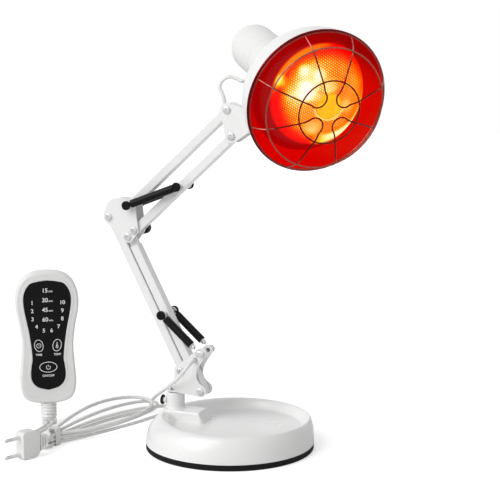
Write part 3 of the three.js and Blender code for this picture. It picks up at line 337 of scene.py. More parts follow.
def band(finish, away, radius, inner, outer, level):
    """A soft ring, full near a radius and gone beyond it."""
    return finish.soft_step(abs(away - radius), inner, outer, level, 0)


def bowl_lining(name):
    """The bowl's inside, painted with a red glow that stands for the bulb's light, brighter deep inside and in
    its lower part.
    """
    finish = Finish(name, Specular_IOR_Level=0.06)
    across, up, out = head_plane(finish)
    cloud = finish.noise(30, 3)
    depth = finish.spread(out, -50, 1, 1, 0)
    lower = finish.soft_step(up - across * 0.6, 40, -60)
    level = depth * 0.25 + lower * 0.75 + finish.vary(cloud, -0.03, 0.03)
    # Painted light: this emission stands in for the bulb's red light falling on the bowl, and its level is where
    # that light is painted brighter.
    glow = finish.ramp(
        level,
        (0.0, (0.36, 0.0, 0.001)), (0.3, (0.42, 0.0, 0.001)),
        (0.6, (0.85, 0.0, 0.0)), (1.0, (1.15, 0.001, 0.0)),
    )
    finish.set(
        Base_Color=finish.blend(depth, (0.04, 0.0003, 0.0003), (0.05, 0.0003, 0.0003)),
        Roughness=finish.vary(cloud, 0.3, 0.42),
        Emission_Color=glow,
        Emission_Strength=0.62,
        Normal=finish.bump(finish.noise(900, 2), 0.1, FINE_RELIEF),
    )
    return finish.material


def honeycomb(across, up):
    """Bright dots in a triangular net, from three crossing waves."""
    turn = 4 * math.pi / (math.sqrt(3) * DOT_PITCH)
    waves = 0
    for angle in (0, math.pi / 3, 2 * math.pi / 3):
        phase = (across * math.cos(angle) + up * math.sin(angle)) * turn
        waves = phase.wave() + waves
    return waves


# The lit bulb's pattern, in millimetres across and up its face. LIT_LEAN is how far across and up the
# pattern is carried for each millimetre out of that face. A spot is its centre, the radius within which
# it is full, the radius at which it is gone, and its level.
LIT_LEAN = (0.51, -0.364)
DOT_PITCH = 2.7
AMBER_SPOT = ((9, 4), 36, 54)
HOT_SPOT = ((-12, 18), 8, 40, 0.36)
SMALL_SPOTS = [
    ((-12, 10), 5, 17, 0.45), ((15, 15), 3, 11, 0.42), ((-42, 21), 2, 10, 0.5), ((1, 25), 3, 11, 0.35),
    ((-18, 31), 2, 11, 0.3), ((2, -31), 2, 14, 0.25), ((36, -6), 2, 10, 0.22),
]
MIDDLE_SPOT, MIDDLE_LEVEL = ((17, -7), 12, 16), 0.62
CRESCENT_CENTRE, CRESCENT_RADIUS = (15, 0), 43.5
EDGE_CENTRE, STREAK_RADIUS, EDGE_START, EDGE_END = (4, 6.5), 51, 53, 57
LIP_CENTRE, LIP_RADIUS = (17, -5), 17


def lit_glass(name):
    """The bulb's ruby face: white hot patches and a dotted amber ring, pure red at the edge."""
    finish = Finish(name, Roughness=0.2, Specular_IOR_Level=0.12)
    flat_across, flat_up, out = head_plane(finish)
    dots = honeycomb(flat_across, flat_up)
    rise = out - BULB_FACE
    across, up = flat_across + rise * LIT_LEAN[0], flat_up + rise * LIT_LEAN[1]
    swirl = finish.vary(finish.noise(42, 3, 0.6), -1, 1)
    fine = finish.vary(finish.noise(150, 3, 0.65), -1, 1)
    amber = spot(finish, across, up, *AMBER_SPOT)
    hot = spot(finish, across, up, *HOT_SPOT)
    core = spot(finish, across, up, *SMALL_SPOTS[0])
    for small in SMALL_SPOTS[1:]:
        core = core + spot(finish, across, up, *small)
    right = finish.soft_step((across - CRESCENT_CENTRE[0]) * 0.72 - up * 0.69, 16, 36)
    crescent = band(finish, distance(across, up, CRESCENT_CENTRE), CRESCENT_RADIUS, 3.5, 9, 0.8) * right
    edge = distance(across, up, EDGE_CENTRE)
    left = finish.soft_step((up - EDGE_CENTRE[1]) * 0.75 - (across - EDGE_CENTRE[0]) * 0.66, 28, 46)
    streak = band(finish, edge, STREAK_RADIUS, 1.5, 6, 0.4) * left
    lip = band(finish, distance(across, up, LIP_CENTRE), LIP_RADIUS, 0.5, 1.8, 0.3)
    lip = lip * finish.soft_step(up, -12, -8, 1, 0)
    heat = amber * 0.42 + (hot + core) * (1 + swirl * 0.35) + crescent + streak
    heat = heat + amber * (swirl * 0.07 + fine * 0.05) + dots * (amber * 0.13 + 0.012)
    middle = spot(finish, across, up, *MIDDLE_SPOT)
    heat = heat * (1 - middle) + (MIDDLE_LEVEL + fine * 0.05) * middle + lip
    glow = finish.ramp(
        heat,
        (0.0, (1.0, 0.0, 0.0)), (0.14, (1.0, 0.01, 0.0)), (0.34, (1.0, 0.13, 0.0)),
        (0.5, (1.0, 0.28, 0.0)), (0.64, (1.0, 0.55, 0.01)), (0.8, (1.0, 0.88, 0.1)),
        (0.92, (1.0, 0.97, 0.45)), (1.0, (1.0, 1.0, 0.88)),
    )
    finish.set(
        Base_Color=finish.blend(amber, (0.06, 0.0005, 0.0005), (0.3, 0.03, 0.003)),
        Emission_Color=finish.blend(finish.soft_step(edge, EDGE_START, EDGE_END), glow, (0.36, 0.0, 0.001)),
        Emission_Strength=0.96,
        Normal=finish.bump(dots, 0.25, 3 * FINE_RELIEF),
    )
    return finish.material


def guard_plating(name):
    """Bright metal wire, its colour a painted reflection of the bulb: dark red over its face, with a paler
    painted highlight towards the rim.
    """
    finish = Finish(name, Metallic=1.0)
    across, up, _ = head_plane(finish)
    streaks = finish.noise(300, 3)
    # Painted reflection and highlight: red from the lit bulb and bowl, paler near the rim, dark red again at the
    # rim bead.
    tone = finish.ramp(
        distance(across, up) / REFLECTION_REACH,
        (0.0, (0.13, 0.012, 0.01)), (0.7, (0.17, 0.016, 0.012)), (0.84, (0.5, 0.15, 0.12)),
        (0.92, (0.46, 0.11, 0.09)), (0.945, (0.17, 0.005, 0.008)),
    )
    finish.set(
        Base_Color=finish.tint(streaks, 0.35, 0.75, tone, (0.1, 0.006, 0.006), 0.5),
        Roughness=finish.spread(streaks, 0.25, 0.75, 0.15, 0.32),
    )
    return finish.material


def hot_wire(name):
    """The filament's glow, uneven along its wire."""
    finish = Finish(name, Roughness=0.4)
    cloud = finish.noise(200, 2)
    finish.set(
        Base_Color=(0.8, 0.45, 0.1),
        Emission_Color=finish.blend(cloud, (1.0, 0.7, 0.25), (1.0, 0.5, 0.1)),
        Emission_Strength=3.0,
    )
    return finish.material


def jacket(name, colour):
    """A smooth cable jacket with a slight sheen and a faint lengthwise waviness."""
    finish = Finish(name, Coat_Weight=0.15, Coat_Roughness=0.3)
    cloud = finish.noise(120, 3)
    finish.set(
        Base_Color=finish.blend(finish.vary(cloud, 0, 1), colour, dimmed(colour, 0.93)),
        Roughness=finish.vary(cloud, 0.36, 0.5),
        Normal=finish.bump(cloud, 0.15, 2 * FINE_RELIEF),
    )
    return finish.material


def film(name, colour):
    """Glossy printed film over the handset's panel."""
    finish = Finish(name, Specular_IOR_Level=0.15)
    cloud = finish.noise(40, 3)
    finish.set(
        Base_Color=finish.blend(finish.vary(cloud, 0, 1), colour, lifted(colour, 0.002)),
        Roughness=finish.vary(cloud, 0.2, 0.32),
        Normal=finish.bump(finish.noise(1200, 2), 0.04, FINE_RELIEF),
    )
    return finish.material


def board_finish(name):
    """A circuit board: green lacquer over square tracks."""
    finish = Finish(name, Roughness=0.4)
    tracks = finish.node("TexVoronoi", {"distance": "CHEBYCHEV"}, {"Vector": finish.place(), "Scale": 260})
    finish.set(Base_Color=finish.tint(tracks, 0.3, 0.5, (0.03, 0.16, 0.07), (0.1, 0.34, 0.18)))
    return finish.material


LOOKS = {
    "white_paint": enamel("white_enamel", (0.86, 0.86, 0.855)),
    "white_plastic": moulded("white_plastic", (0.85, 0.85, 0.84), 0.36, 0.12),
    "black_plastic": moulded("black_plastic", (0.003, 0.003, 0.0033), 0.38, 0.25, shine=0.14),
    "sleeve": moulded("black_sleeve", (0.003, 0.003, 0.0033), 0.3, 0.1, shine=0.16),
    "black_panel": film("black_film", (0.002, 0.002, 0.0025)),
    "print": moulded("white_print", (0.9, 0.9, 0.9), 0.5, 0.05),
    "rubber": moulded_rubber("black_rubber", (0.005, 0.005, 0.005)),
    "steel": metal("plated_steel", (0.66, 0.67, 0.69)),
    "bright": metal("bright_zinc", (0.82, 0.82, 0.84), 0.22),
    "brass": metal("brass", (0.72, 0.5, 0.2), 0.28),
    "ceramic": moulded("glazed_ceramic", (0.78, 0.74, 0.66), 0.2, 0.05),
    "red_glass": lit_glass("ruby_glass"),
    # The bowl's inside, with a painted red glow for the bulb's light
    "lining": bowl_lining("bowl_lining"),
    # The guard's wire, with a painted red reflection and highlight
    "guard_wire": guard_plating("guard_wire"),
    "board": board_finish("circuit_board"),
    "filament": hot_wire("hot_filament"),
    "cord": jacket("white_jacket", (0.84, 0.84, 0.83)),
}


# Finishing a piece, whose edges stay sharp past this angle in degrees

SHARP = 35


def finished(name, body, look, bm, replaces=(), sharp=SHARP):
    """Makes an object of a mesh in millimetres, and gives it a finish, a body and the nodes it stands for."""
    made = bpy.data.meshes.new(name)
    bm.to_mesh(made)
    bm.free()
    made.transform(Matrix.Scale(MM, 4))
    edit = bmesh.new()
    edit.from_mesh(made)
    for face in edit.faces:
        face.smooth = True
    for edge in edit.edges:
        edge.smooth = len(edge.link_faces) == 2 and edge.calc_face_angle() < math.radians(sharp)
    edit.to_mesh(made)
    edit.free()
    made.materials.append(LOOKS[look])
    obj = bpy.data.objects.new(name, made)
    bpy.context.scene.collection.objects.link(obj)
    if sharp == SHARP:
        shading = obj.modifiers.new("flat faces", "WEIGHTED_NORMAL")
        shading.keep_sharp = True
    if body:
        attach(obj, body)
    if replaces:
        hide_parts(*replaces)
    return obj


# Points nearer than this, in millimetres, are one
SAME_PLACE = 0.001


def moved(bm, matrix):
    bmesh.ops.transform(bm, matrix=matrix, verts=bm.verts)
    return bm


def together(*parts):
    """Several meshes as one."""
    whole = bmesh.new()
    for part in parts:
        mesh = bpy.data.meshes.new("part")
        part.to_mesh(mesh)
        part.free()
        whole.from_mesh(mesh)
        bpy.data.meshes.remove(mesh)
    return whole


def scratch(bm):
    """A passing object for a modifier to work on."""
    mesh = bpy.data.meshes.new("scratch")
    bm.to_mesh(mesh)
    bm.free()
    obj = bpy.data.objects.new("scratch", mesh)
    bpy.context.scene.collection.objects.link(obj)
    return obj


def carved(bm, operation, *tools):
    """Joins or cuts solids exactly, one tool after another."""
    body = scratch(bm)
    others = [scratch(tool) for tool in tools]
    for other in others:
        step = body.modifiers.new("carve", "BOOLEAN")
        step.operation = operation
        step.solver = "EXACT"
        step.object = other
    bpy.context.view_layer.update()
    graph = bpy.context.evaluated_depsgraph_get()
    mesh = bpy.data.meshes.new_from_object(body.evaluated_get(graph))
    result = bmesh.new()
    result.from_mesh(mesh)
    for obj in (body, *others):
        data = obj.data
        bpy.data.objects.remove(obj)
        bpy.data.meshes.remove(data)
    bpy.data.meshes.remove(mesh)
    bmesh.ops.remove_doubles(result, verts=result.verts, dist=SAME_PLACE)
    return result


def cut(bm, *tools):
    return carved(bm, "DIFFERENCE", *tools)


def union(bm, *tools):
    return carved(bm, "UNION", *tools)


def level_edges(height):
    return lambda edge: all(abs(vert.co.z - height) < 0.01 for vert in edge.verts)


def spans(edge, axis):
    """Whether an edge runs along an axis for more than a millimetre."""
    return abs(edge.verts[0].co[axis] - edge.verts[1].co[axis]) > 1


def soften(bm, width, segments=2, angle=40, where=None):
    """Rounds the edges that are sharper than an angle."""
    edges = [
        edge for edge in bm.edges
        if len(edge.link_faces) == 2
        and edge.calc_face_angle() > math.radians(angle)
        and (where is None or where(edge))
    ]
    bmesh.ops.bevel(
        bm, geom=edges, offset=width, offset_type="OFFSET", segments=segments, profile=0.5,
        affect="EDGES", material=-1, clamp_overlap=True,
    )
    return bm


def rod(start, end, radius, sides=32):
    start, end = Vector(start), Vector(end)
    along = end - start
    bm = bmesh.new()
    turn = along.to_track_quat("Z", "Y").to_matrix().to_4x4()
    bmesh.ops.create_cone(
        bm, cap_ends=True, segments=sides, radius1=radius, radius2=radius, depth=along.length,
        matrix=Matrix.Translation((start + end) / 2) @ turn,
    )
    return bm


def cross(place, low, high, radius, sides=32):
    """A rod square to the arm plane."""
    return rod((place[0], low, place[1]), (place[0], high, place[1]), radius, sides)


def block(low, high):
    bm = bmesh.new()
    low, high = Vector(low), Vector(high)
    size = Matrix.Diagonal((*(high - low), 1))
    bmesh.ops.create_cube(bm, size=1, matrix=Matrix.Translation((low + high) / 2) @ size)
    return bm


def hull(circles, low, high, sides=48):
    """A flat plate in the arm plane, taut round some circles of X, Z and radius, between two Y values."""
    bm = bmesh.new()
    for x, z, radius in circles:
        for y in (low, high):
            bmesh.ops.create_circle(
                bm, cap_ends=False, segments=sides, radius=radius,
                matrix=Matrix.Translation((x, y, z)) @ Matrix.Rotation(math.pi / 2, 4, "X"),
            )
    made = bmesh.ops.convex_hull(bm, input=bm.verts)
    inside = [item for item in made["geom_interior"] if isinstance(item, bmesh.types.BMVert)]
    bmesh.ops.delete(bm, geom=inside, context="VERTS")
    bmesh.ops.delete(bm, geom=[edge for edge in bm.edges if not edge.link_faces], context="EDGES")
    bmesh.ops.dissolve_limit(bm, angle_limit=math.radians(0.5), verts=bm.verts, edges=bm.edges)
    bmesh.ops.recalc_face_normals(bm, faces=bm.faces)
    return bm


def turned(profile, sides=64, closed=False):
    """A body of revolution round Z, from radius and height pairs."""
    bm = bmesh.new()
    verts = [bm.verts.new((radius, 0, height)) for radius, height in profile]
    pairs = list(zip(verts, verts[1:]))
    if closed:
        pairs.append((verts[-1], verts[0]))
    edges = [bm.edges.new(pair) for pair in pairs]
    bmesh.ops.spin(
        bm, geom=verts + edges, cent=(0, 0, 0), axis=(0, 0, 1), angle=2 * math.pi, steps=sides,
        use_merge=True, use_duplicate=False, use_normal_flip=False,
    )
    bmesh.ops.remove_doubles(bm, verts=bm.verts, dist=SAME_PLACE)
    bmesh.ops.recalc_face_normals(bm, faces=bm.faces)
    return bm


def arc(centre, radius, start, end, steps=6):
    """Points on a round corner of a profile, between two angles in degrees."""
    points = []
    for step in range(steps + 1):
        angle = math.radians(start + (end - start) * step / steps)
        points.append((centre[0] + radius * math.cos(angle), centre[1] + radius * math.sin(angle)))
    return points


def even_line(points, steps=9):
    """The evenly paced smooth line through points of a flat outline."""
    line = [Vector(point) for point in points]
    line = [line[0], *line, line[-1]]
    places = []
    for before, start, end, after in zip(line, line[1:], line[2:], line[3:]):
        for step in range(steps):
            t = step / steps
            places.append((
                2 * start + (end - before) * t + (2 * before - 5 * start + 4 * end - after) * t * t
                + (3 * start - before - 3 * end + after) * t ** 3
            ) / 2)
    return [*places, line[-1]]


def block_of(outline, low, high):
    """A flat outline drawn out from one height to another."""
    bm = bmesh.new()
    bm.faces.new([bm.verts.new((x, y, low)) for x, y in outline])
    made = bmesh.ops.extrude_face_region(bm, geom=bm.faces[:])
    raised = [item for item in made["geom"] if isinstance(item, bmesh.types.BMVert)]
    bmesh.ops.translate(bm, vec=(0, 0, high - low), verts=raised)
    bmesh.ops.remove_doubles(bm, verts=bm.verts, dist=0.01)
    bmesh.ops.recalc_face_normals(bm, faces=bm.faces)
    return bm


def across_y(bm, place, y=0):
    """Turns a body made round Z so that its axis runs along Y, towards the viewer's side for a higher Z."""
    return moved(bm, Matrix.Translation((place[0], y, place[1])) @ Matrix.Rotation(math.pi / 2, 4, "X"))


def along_way(bm, start, end):
    """Turns a body made round Z so that it starts at one place and points at another."""
    start, end = Vector(start), Vector(end)
    turn = (end - start).to_track_quat("Z", "Y").to_matrix().to_4x4()
    return moved(bm, Matrix.Translation(start) @ turn)


def chained(points):
    """Bezier handles of the smooth line that three.js draws through some points."""
    line = [Vector(point) for point in points]
    line = [2 * line[0] - line[1], *line, 2 * line[-1] - line[-2]]
    pieces = []
    for before, start, end, after in zip(line, line[1:], line[2:], line[3:]):
        ends = (before, start), (start, end), (end, after)
        near, own, far = [max((b - a).length ** 0.5, 1e-4) for a, b in ends]
        first = (start - before) / near - (end - before) / (near + own) + (end - start) / own
        last = (end - start) / own - (after - start) / (own + far) + (after - end) / far
        pieces.append((start, start + first * own / 3, end - last * own / 3, end))
    return pieces


def sampled(points, steps):
    """Places along that smooth line."""
    places = []
    for start, out, back, end in chained(points):
        for step in range(steps):
            t = step / steps
            s = 1 - t
            places.append(start * s ** 3 + out * 3 * s * s * t + back * 3 * s * t * t + end * t ** 3)
    return [*places, Vector(points[-1])]


def wire(points, radius, cyclic=False, rounds=3):
    """A round wire along some places."""
    curve = bpy.data.curves.new("wire", "CURVE")
    curve.dimensions = "3D"
    curve.bevel_depth = radius
    curve.bevel_resolution = rounds
    curve.use_fill_caps = True
    spline = curve.splines.new("POLY")
    spline.points.add(len(points) - 1)
    for point, place in zip(spline.points, points):
        point.co = (*place, 1)
    spline.use_cyclic_u = cyclic
    obj = bpy.data.objects.new("wire", curve)
    bpy.context.scene.collection.objects.link(obj)
    bpy.context.view_layer.update()
    mesh = bpy.data.meshes.new_from_object(obj.evaluated_get(bpy.context.evaluated_depsgraph_get()))
    bm = bmesh.new()
    bm.from_mesh(mesh)
    bmesh.ops.remove_doubles(bm, verts=bm.verts, dist=0.0001)
    bmesh.ops.recalc_face_normals(bm, faces=bm.faces)
    bpy.data.objects.remove(obj)
    bpy.data.curves.remove(curve)
    bpy.data.meshes.remove(mesh)
    return bm


# Cords, with the same places as the model

HANK_FLOOR, HANK_LAYER, HANK_SLOT = 3.15, 4.7, 3
HANK_TURN_LENGTH, HANK_TURN_WIDTH = 17, 9
TIE_LENGTH = 12
LOOP_STEPS, TURN_STEPS = 24, 8
# Each loop's length, width and lean in degrees. A loop comes down a layer between the DROP shares of its
# way, and the last one leaves the hank after RUN_OUT of its points.
LOOPS = {"first": (162, 44, 6), "second": (170, 30, 2), "third": (180, 26, -5)}
DROP = (0.66, 0.86)
RUN_OUT = 9
# Places drawn between two points of a route
SPAN = 8
LEAD_SPREAD, LEAD_HEIGHT, BOOT_FACE = 3.4, 4.2, 7.8
MAINS_ROUTE = [
    (-186.5, -92, 7.9), (-193, -103, 7.9), (-203, -109, 7.4), (-214, -104.5, 6.4), (-222.5, -87, 5.4),
    (-224.5, -64, 4.5), (-225.5, -40, 4.3), (-228.8, -21, 4.2),
]
LAMP_ROUTE = [
    (-223, -18.5, 4.2), (-219.8, -37, 4.3), (-218.5, -58, 4.5), (-216, -78, 5.4), (-211.5, -92.5, 6.4),
    (-204.8, -98.8, 7.4), (-197, -96.3, 7.9), (-191, -88, 7.9),
]
TAIL_ROUTE = [
    (-148.5, 95, 3.1), (-153, 104, 4), (-154.5, 110.5, 9), (-147, 106, 17), (-136, 90, 24), (-123, 66, 32),
    (-108, 40, 41), (-92, 15, 51), (-77, -6, 60.5), (-64, -19, 70), (-52, -26.5, 80), (-43.5, -28, 89.5),
    (-39.5, -24, 95.5),
]
HEAD_ROUTE = [
    (-10, 0, 397), (-13, 0, 402.7), (-11.9, 0, 408), (-8.1, 0, 412.7), (-2.1, 1, 415.2), (5.4, 2.5, 413.5),
    (12.5, 3.5, 410.6),
]
HEAD_EXIT = (-7.4, 384)
HEAD_ALONG, HEAD_ENTRY_TURN, NECK_RADIUS = -118, math.radians(215), 26.5


def hank_level(layer):
    return HANK_FLOOR + HANK_LAYER * layer


def hank_loop(loop, layer, drop):
    length, width, lean = loop
    points = []
    for step in range(1, LOOP_STEPS):
        turn = step / LOOP_STEPS * 2 * math.pi
        along = length * (1 - math.cos(turn)) / 2
        side = 1 if turn < math.pi else -1
        out = width * math.sin(turn) * math.sin(turn / 2) + side * HANK_SLOT * math.cos(turn / 2) ** 2
        tilt = math.radians(lean) * math.sin(turn / 2) ** 2
        late = max(0, (step / LOOP_STEPS - DROP[0]) / (DROP[1] - DROP[0]))
        points.append((
            TIE_LENGTH / 2 + along * math.cos(tilt) - out * math.sin(tilt),
            out * math.cos(tilt) + along * math.sin(tilt),
            hank_level(layer) - drop * HANK_LAYER * min(late, 1),
        ))
    return points


def tie_run(side, layer, outward):
    places = [-TIE_LENGTH / 2, 0, TIE_LENGTH / 2]
    if not outward:
        places.reverse()
    return [(along, side * HANK_SLOT, hank_level(layer)) for along in places]


def tie_turn(layer):
    points = []
    for step in range(1, TURN_STEPS):
        turn = step / TURN_STEPS * 2 * math.pi
        along = HANK_TURN_LENGTH * (1 - math.cos(turn)) / 2
        out = -HANK_TURN_WIDTH * math.sin(turn) * math.sin(turn / 2) - HANK_SLOT * math.cos(turn / 2)
        points.append((-TIE_LENGTH / 2 - along, out, hank_level(layer)))
    return points


def from_hank(points):
    return [HANK @ Vector(point) for point in points]


def boot_exit(side, out):
    across = side * LEAD_SPREAD
    cosine, sine = math.cos(HANDSET_TURN), math.sin(HANDSET_TURN)
    return (
        HANDSET_PLACE[0] + across * cosine + out * sine,
        HANDSET_PLACE[1] + across * sine - out * cosine,
        LEAD_HEIGHT,
    )


def plug_exit(out):
    return (PLUG_REAR[0] - math.cos(PLUG_TURN) * out, PLUG_REAR[1] - math.sin(PLUG_TURN) * out, PLUG_HALF)


def mains_places():
    return [
        plug_exit(GAP), plug_exit(GAP + 2 * CORD_RADIUS), (-178.3, -95.5, 16.9), (-184.6, -86.8, 17.4),
        *from_hank([
            *tie_run(1, 3, True), *hank_loop(LOOPS["first"], 3, 1), *tie_run(-1, 2, False), *tie_turn(2),
            *tie_run(1, 2, True), *hank_loop(LOOPS["second"], 2, 1), *tie_run(-1, 1, False),
        ]),
        *MAINS_ROUTE, boot_exit(-1, BOOT_FACE + 2 * CORD_RADIUS), boot_exit(-1, BOOT_FACE),
    ]


def lamp_places():
    return [
        boot_exit(1, BOOT_FACE), boot_exit(1, BOOT_FACE + 2 * CORD_RADIUS), *LAMP_ROUTE,
        *from_hank([
            *tie_run(1, 1, True), *hank_loop(LOOPS["third"], 1, 1), *tie_run(-1, 0, False), *tie_turn(0),
            *tie_run(1, 0, True), *hank_loop(LOOPS["third"], 0, 0)[:RUN_OUT],
        ]),
    ]


def tail_places():
    lead = lamp_places()
    start = Vector(lead[-1])
    along = (start - Vector(lead[-2])).normalized()
    face = -PLATE_OUT - GAP
    return [
        start + along * GAP, start + along * (GAP + 2 * CORD_RADIUS), *TAIL_ROUTE,
        (LEAD_HOLE[0], face - 2 * CORD_RADIUS, LEAD_HOLE[1]), (LEAD_HOLE[0], face, LEAD_HOLE[1]),
    ]


def head_places():
    across, up = math.cos(HEAD_ENTRY_TURN), math.sin(HEAD_ENTRY_TURN)

    def entry(radius):
        return HEAD @ Vector((radius * across, radius * up, HEAD_ALONG))

    return [
        (HEAD_EXIT[0], 0, HEAD_EXIT[1]), (HEAD_EXIT[0], 0, HEAD_EXIT[1] + 2 * CORD_RADIUS), *HEAD_ROUTE,
        entry(NECK_RADIUS + GAP + 2 * CORD_RADIUS), entry(NECK_RADIUS + GAP),
    ]


def cord_mesh(name, body, places, replaces):
    return finished(name, body, "cord", wire(places, CORD_RADIUS, rounds=4), replaces, sharp=60)


def add_cords():
    """Makes the cords. Place 8 of each is its route's second point, and place -10 is near its last but one."""
    routes = mains_places()[::-1], lamp_places(), tail_places(), head_places()
    mains, lamp, tail, head = [sampled(places, SPAN) for places in routes]
    mains_lead = cord_mesh("mains_lead", "base", mains, ["mains_hank"])
    lamp_lead = cord_mesh("lamp_lead", "base", lamp, ["lamp_hank"])
    tail_lead = cord_mesh("lamp_lead_tail", None, tail, ["lamp_tail"])
    tail[8] * MM
    tail[-10] * MM
    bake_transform(tail_lead)
    middle = 8 * SPAN
    near = cord_mesh("head_lead_near", None, head[:middle + 1], ["head_lead"])
    far = cord_mesh("head_lead_far", None, head[middle:], ["head_lead"])
    head[8] * MM
    head[middle] * MM
    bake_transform(near)
    head[middle] * MM
    head[-10] * MM
    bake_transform(far)
    return [
        (mains_lead, mains, "plug", "coiled", ["plug_shell", "plug_contacts", "plug_sleeves", "lead_tie"]),
        (lamp_lead, lamp, "object", "coiled", []),
        (tail_lead, tail, "object", "loose", []),
        (near, head[:middle + 1], "object", "loose", ["head_lead_far"]),
    ]


cords = add_cords()


# Base

BASE_RADIUS, BASE_HEIGHT = 95, 35.5
CREST_RADIUS, CREST_SHIFT = 82, 8
DISH_RADIUS, DISH_SHIFT, DISH_FLOOR = 70, 11, 25.5
SHELL_WALL, PAD_HEIGHT, PAD_LIP, PAD_FLOOR = 2.5, 6.5, 3, 2.5
POST_RADIUS, POST_TOP, POST_FLOOR = 10.5, 56.5, 29
PLATFORM_TOP, PLATFORM_HALF, PLATFORM_END, PLATFORM_SLOPE = 38, 14, -33, 6
PLATFORM_LEAN = math.radians(25)
SPIGOT_RADIUS, SPIGOT_NECK = 6.2, 3.6
SCREW_HEIGHT, SCREW_BORE = 45.5, 2.2
FILLET = 3
SHELL_SIDES, DISH_STEPS, WALL_STEPS = 96, 12, 16


def ringed(circles):
    """A closed skin through level circles of radius, shift and height."""
    bm = bmesh.new()
    loops = []
    for radius, shift, height in circles:
        made = bmesh.ops.create_circle(
            bm, cap_ends=False, segments=SHELL_SIDES, radius=radius,
            matrix=Matrix.Translation((shift, 0, height)),
        )
        loops.append({edge for vert in made["verts"] for edge in vert.link_edges})
    for first, second in zip(loops, loops[1:]):
        bmesh.ops.bridge_loops(bm, edges=list(first | second))
    bmesh.ops.edgeloop_fill(bm, edges=list(loops[0]))
    bmesh.ops.edgeloop_fill(bm, edges=list(loops[-1]))
    bmesh.ops.recalc_face_normals(bm, faces=bm.faces)
    return bm


def laid_flat(bm):
    """Lays a plate made in the arm plane flat, its X and Z becoming X and Y, and its Y becoming height."""
    turn = Matrix(((1, 0, 0, 0), (0, 0, 1, 0), (0, 1, 0, 0), (0, 0, 0, 1)))
    moved(bm, turn)
    bmesh.ops.reverse_faces(bm, faces=bm.faces)
    return bm


def shell_circles(foot):
    """The shell's skin: out over the dish, down the wall, and back in under the ceiling."""
    circles = []
    for step in range(DISH_STEPS + 1):
        share = step / DISH_STEPS
        rise = (1 - math.cos(share * math.pi)) / 2
        circles.append((
            DISH_RADIUS + (CREST_RADIUS - DISH_RADIUS) * share,
            DISH_SHIFT + (CREST_SHIFT - DISH_SHIFT) * share,
            DISH_FLOOR + (BASE_HEIGHT - DISH_FLOOR) * rise,
        ))
    for step in range(1, WALL_STEPS + 1):
        turn = (1 - step / WALL_STEPS) * math.pi / 2
        circles.append((
            CREST_RADIUS + (BASE_RADIUS - CREST_RADIUS) * math.cos(turn),
            CREST_SHIFT * (1 - math.cos(turn)),
            foot + (BASE_HEIGHT - foot) * math.sin(turn),
        ))
    ceiling = DISH_FLOOR - SHELL_WALL
    return [
        *circles, (BASE_RADIUS - SHELL_WALL, 0, foot),
        (BASE_RADIUS - 2 * SHELL_WALL, 0, (foot + ceiling) / 2), (DISH_RADIUS + DISH_SHIFT, 0, ceiling),
    ]


def base_shell():
    corner = PLATFORM_HALF - PLATFORM_SLOPE
    platform = laid_flat(hull(
        [
            (POST_X, 0, PLATFORM_HALF),
            (PLATFORM_END, corner, PLATFORM_SLOPE),
            (PLATFORM_END, -corner, PLATFORM_SLOPE),
        ],
        DISH_FLOOR - SHELL_WALL / 2, PLATFORM_TOP,
    ))
    soften(platform, 2.4, 4, where=level_edges(PLATFORM_TOP))
    slope = block((-PLATFORM_SLOPE, -BASE_RADIUS, -PLATFORM_TOP), (BASE_RADIUS, BASE_RADIUS, PLATFORM_TOP))
    lean = Matrix.Rotation(-PLATFORM_LEAN, 4, "Y")
    moved(slope, Matrix.Translation((PLATFORM_END + PLATFORM_SLOPE, 0, PLATFORM_TOP)) @ lean)
    post = turned([
        (0, DISH_FLOOR), (POST_RADIUS, DISH_FLOOR), *arc((POST_RADIUS - 1.5, POST_TOP - 1.5), 1.5, 0, 90),
        (0, POST_TOP),
    ], 72)
    moved(post, Matrix.Translation((POST_X, 0, 0)))
    skirt = POST_RADIUS + FILLET
    fillet = turned([
        (0, PLATFORM_TOP - 1), (skirt, PLATFORM_TOP - 1), (skirt, PLATFORM_TOP),
        *arc((skirt, PLATFORM_TOP + FILLET), FILLET, 270, 180), (0, PLATFORM_TOP + FILLET),
    ], 72)
    moved(fillet, Matrix.Translation((POST_X, 0, 0)))
    bore = rod((POST_X, 0, POST_FLOOR), (POST_X, 0, POST_TOP + 1), SPIGOT_RADIUS + GAP, 56)
    screw = rod((POST_X - POST_RADIUS - 5, 0, SCREW_HEIGHT), (POST_X, 0, SCREW_HEIGHT), SCREW_BORE, 24)
    body = union(ringed(shell_circles(PAD_HEIGHT + GAP)), cut(platform, slope), post, fillet)
    finished("base_shell_cover", "base", "white_paint", cut(body, bore, screw), ["base_shell"])


def base_pad():
    """The rubber ring, with a shallow groove round it."""
    inner, groove = BASE_RADIUS - PAD_LIP, BASE_RADIUS - 0.35
    profile = [
        (0, 0), *arc((BASE_RADIUS - 1.2, 1.2), 1.2, 270, 360),
        (BASE_RADIUS, 3.1), (groove, 3.3), (groove, 3.7), (BASE_RADIUS, 3.9),
        *arc((BASE_RADIUS - 0.6, PAD_HEIGHT - 0.6), 0.6, 0, 90, 3),
        (inner, PAD_HEIGHT), (inner, PAD_FLOOR), (0, PAD_FLOOR),
    ]
    finished("base_pad_ring", "base", "rubber", turned(profile, 128), ["base_pad"])


def ribbed(profile, depth, count):
    """A gripping knob round Z: a turned body with grooves down its widest part."""
    bm = turned(profile, count * 4)
    widest = max(radius for radius, _ in profile)
    for vert in bm.verts:
        out = math.hypot(vert.co.x, vert.co.y)
        phase = (math.atan2(vert.co.y, vert.co.x) / (2 * math.pi) * count + 0.125) % 1
        if out > widest - depth and 0.25 < phase < 0.75:
            vert.co.x *= 1 - depth / out
            vert.co.y *= 1 - depth / out
    return bm


def knob_profile(radius, start, end, rounding, dish):
    """A grip's outline with rounded ends and a dish in its face."""
    inner = radius - rounding
    return [
        *arc((inner, start + rounding), rounding, 270, 360, 4),
        *arc((inner, end - rounding), rounding, 0, 90, 4),
        (dish + 0.6, end), (dish, end - 0.6), (0, end - 0.6),
    ]


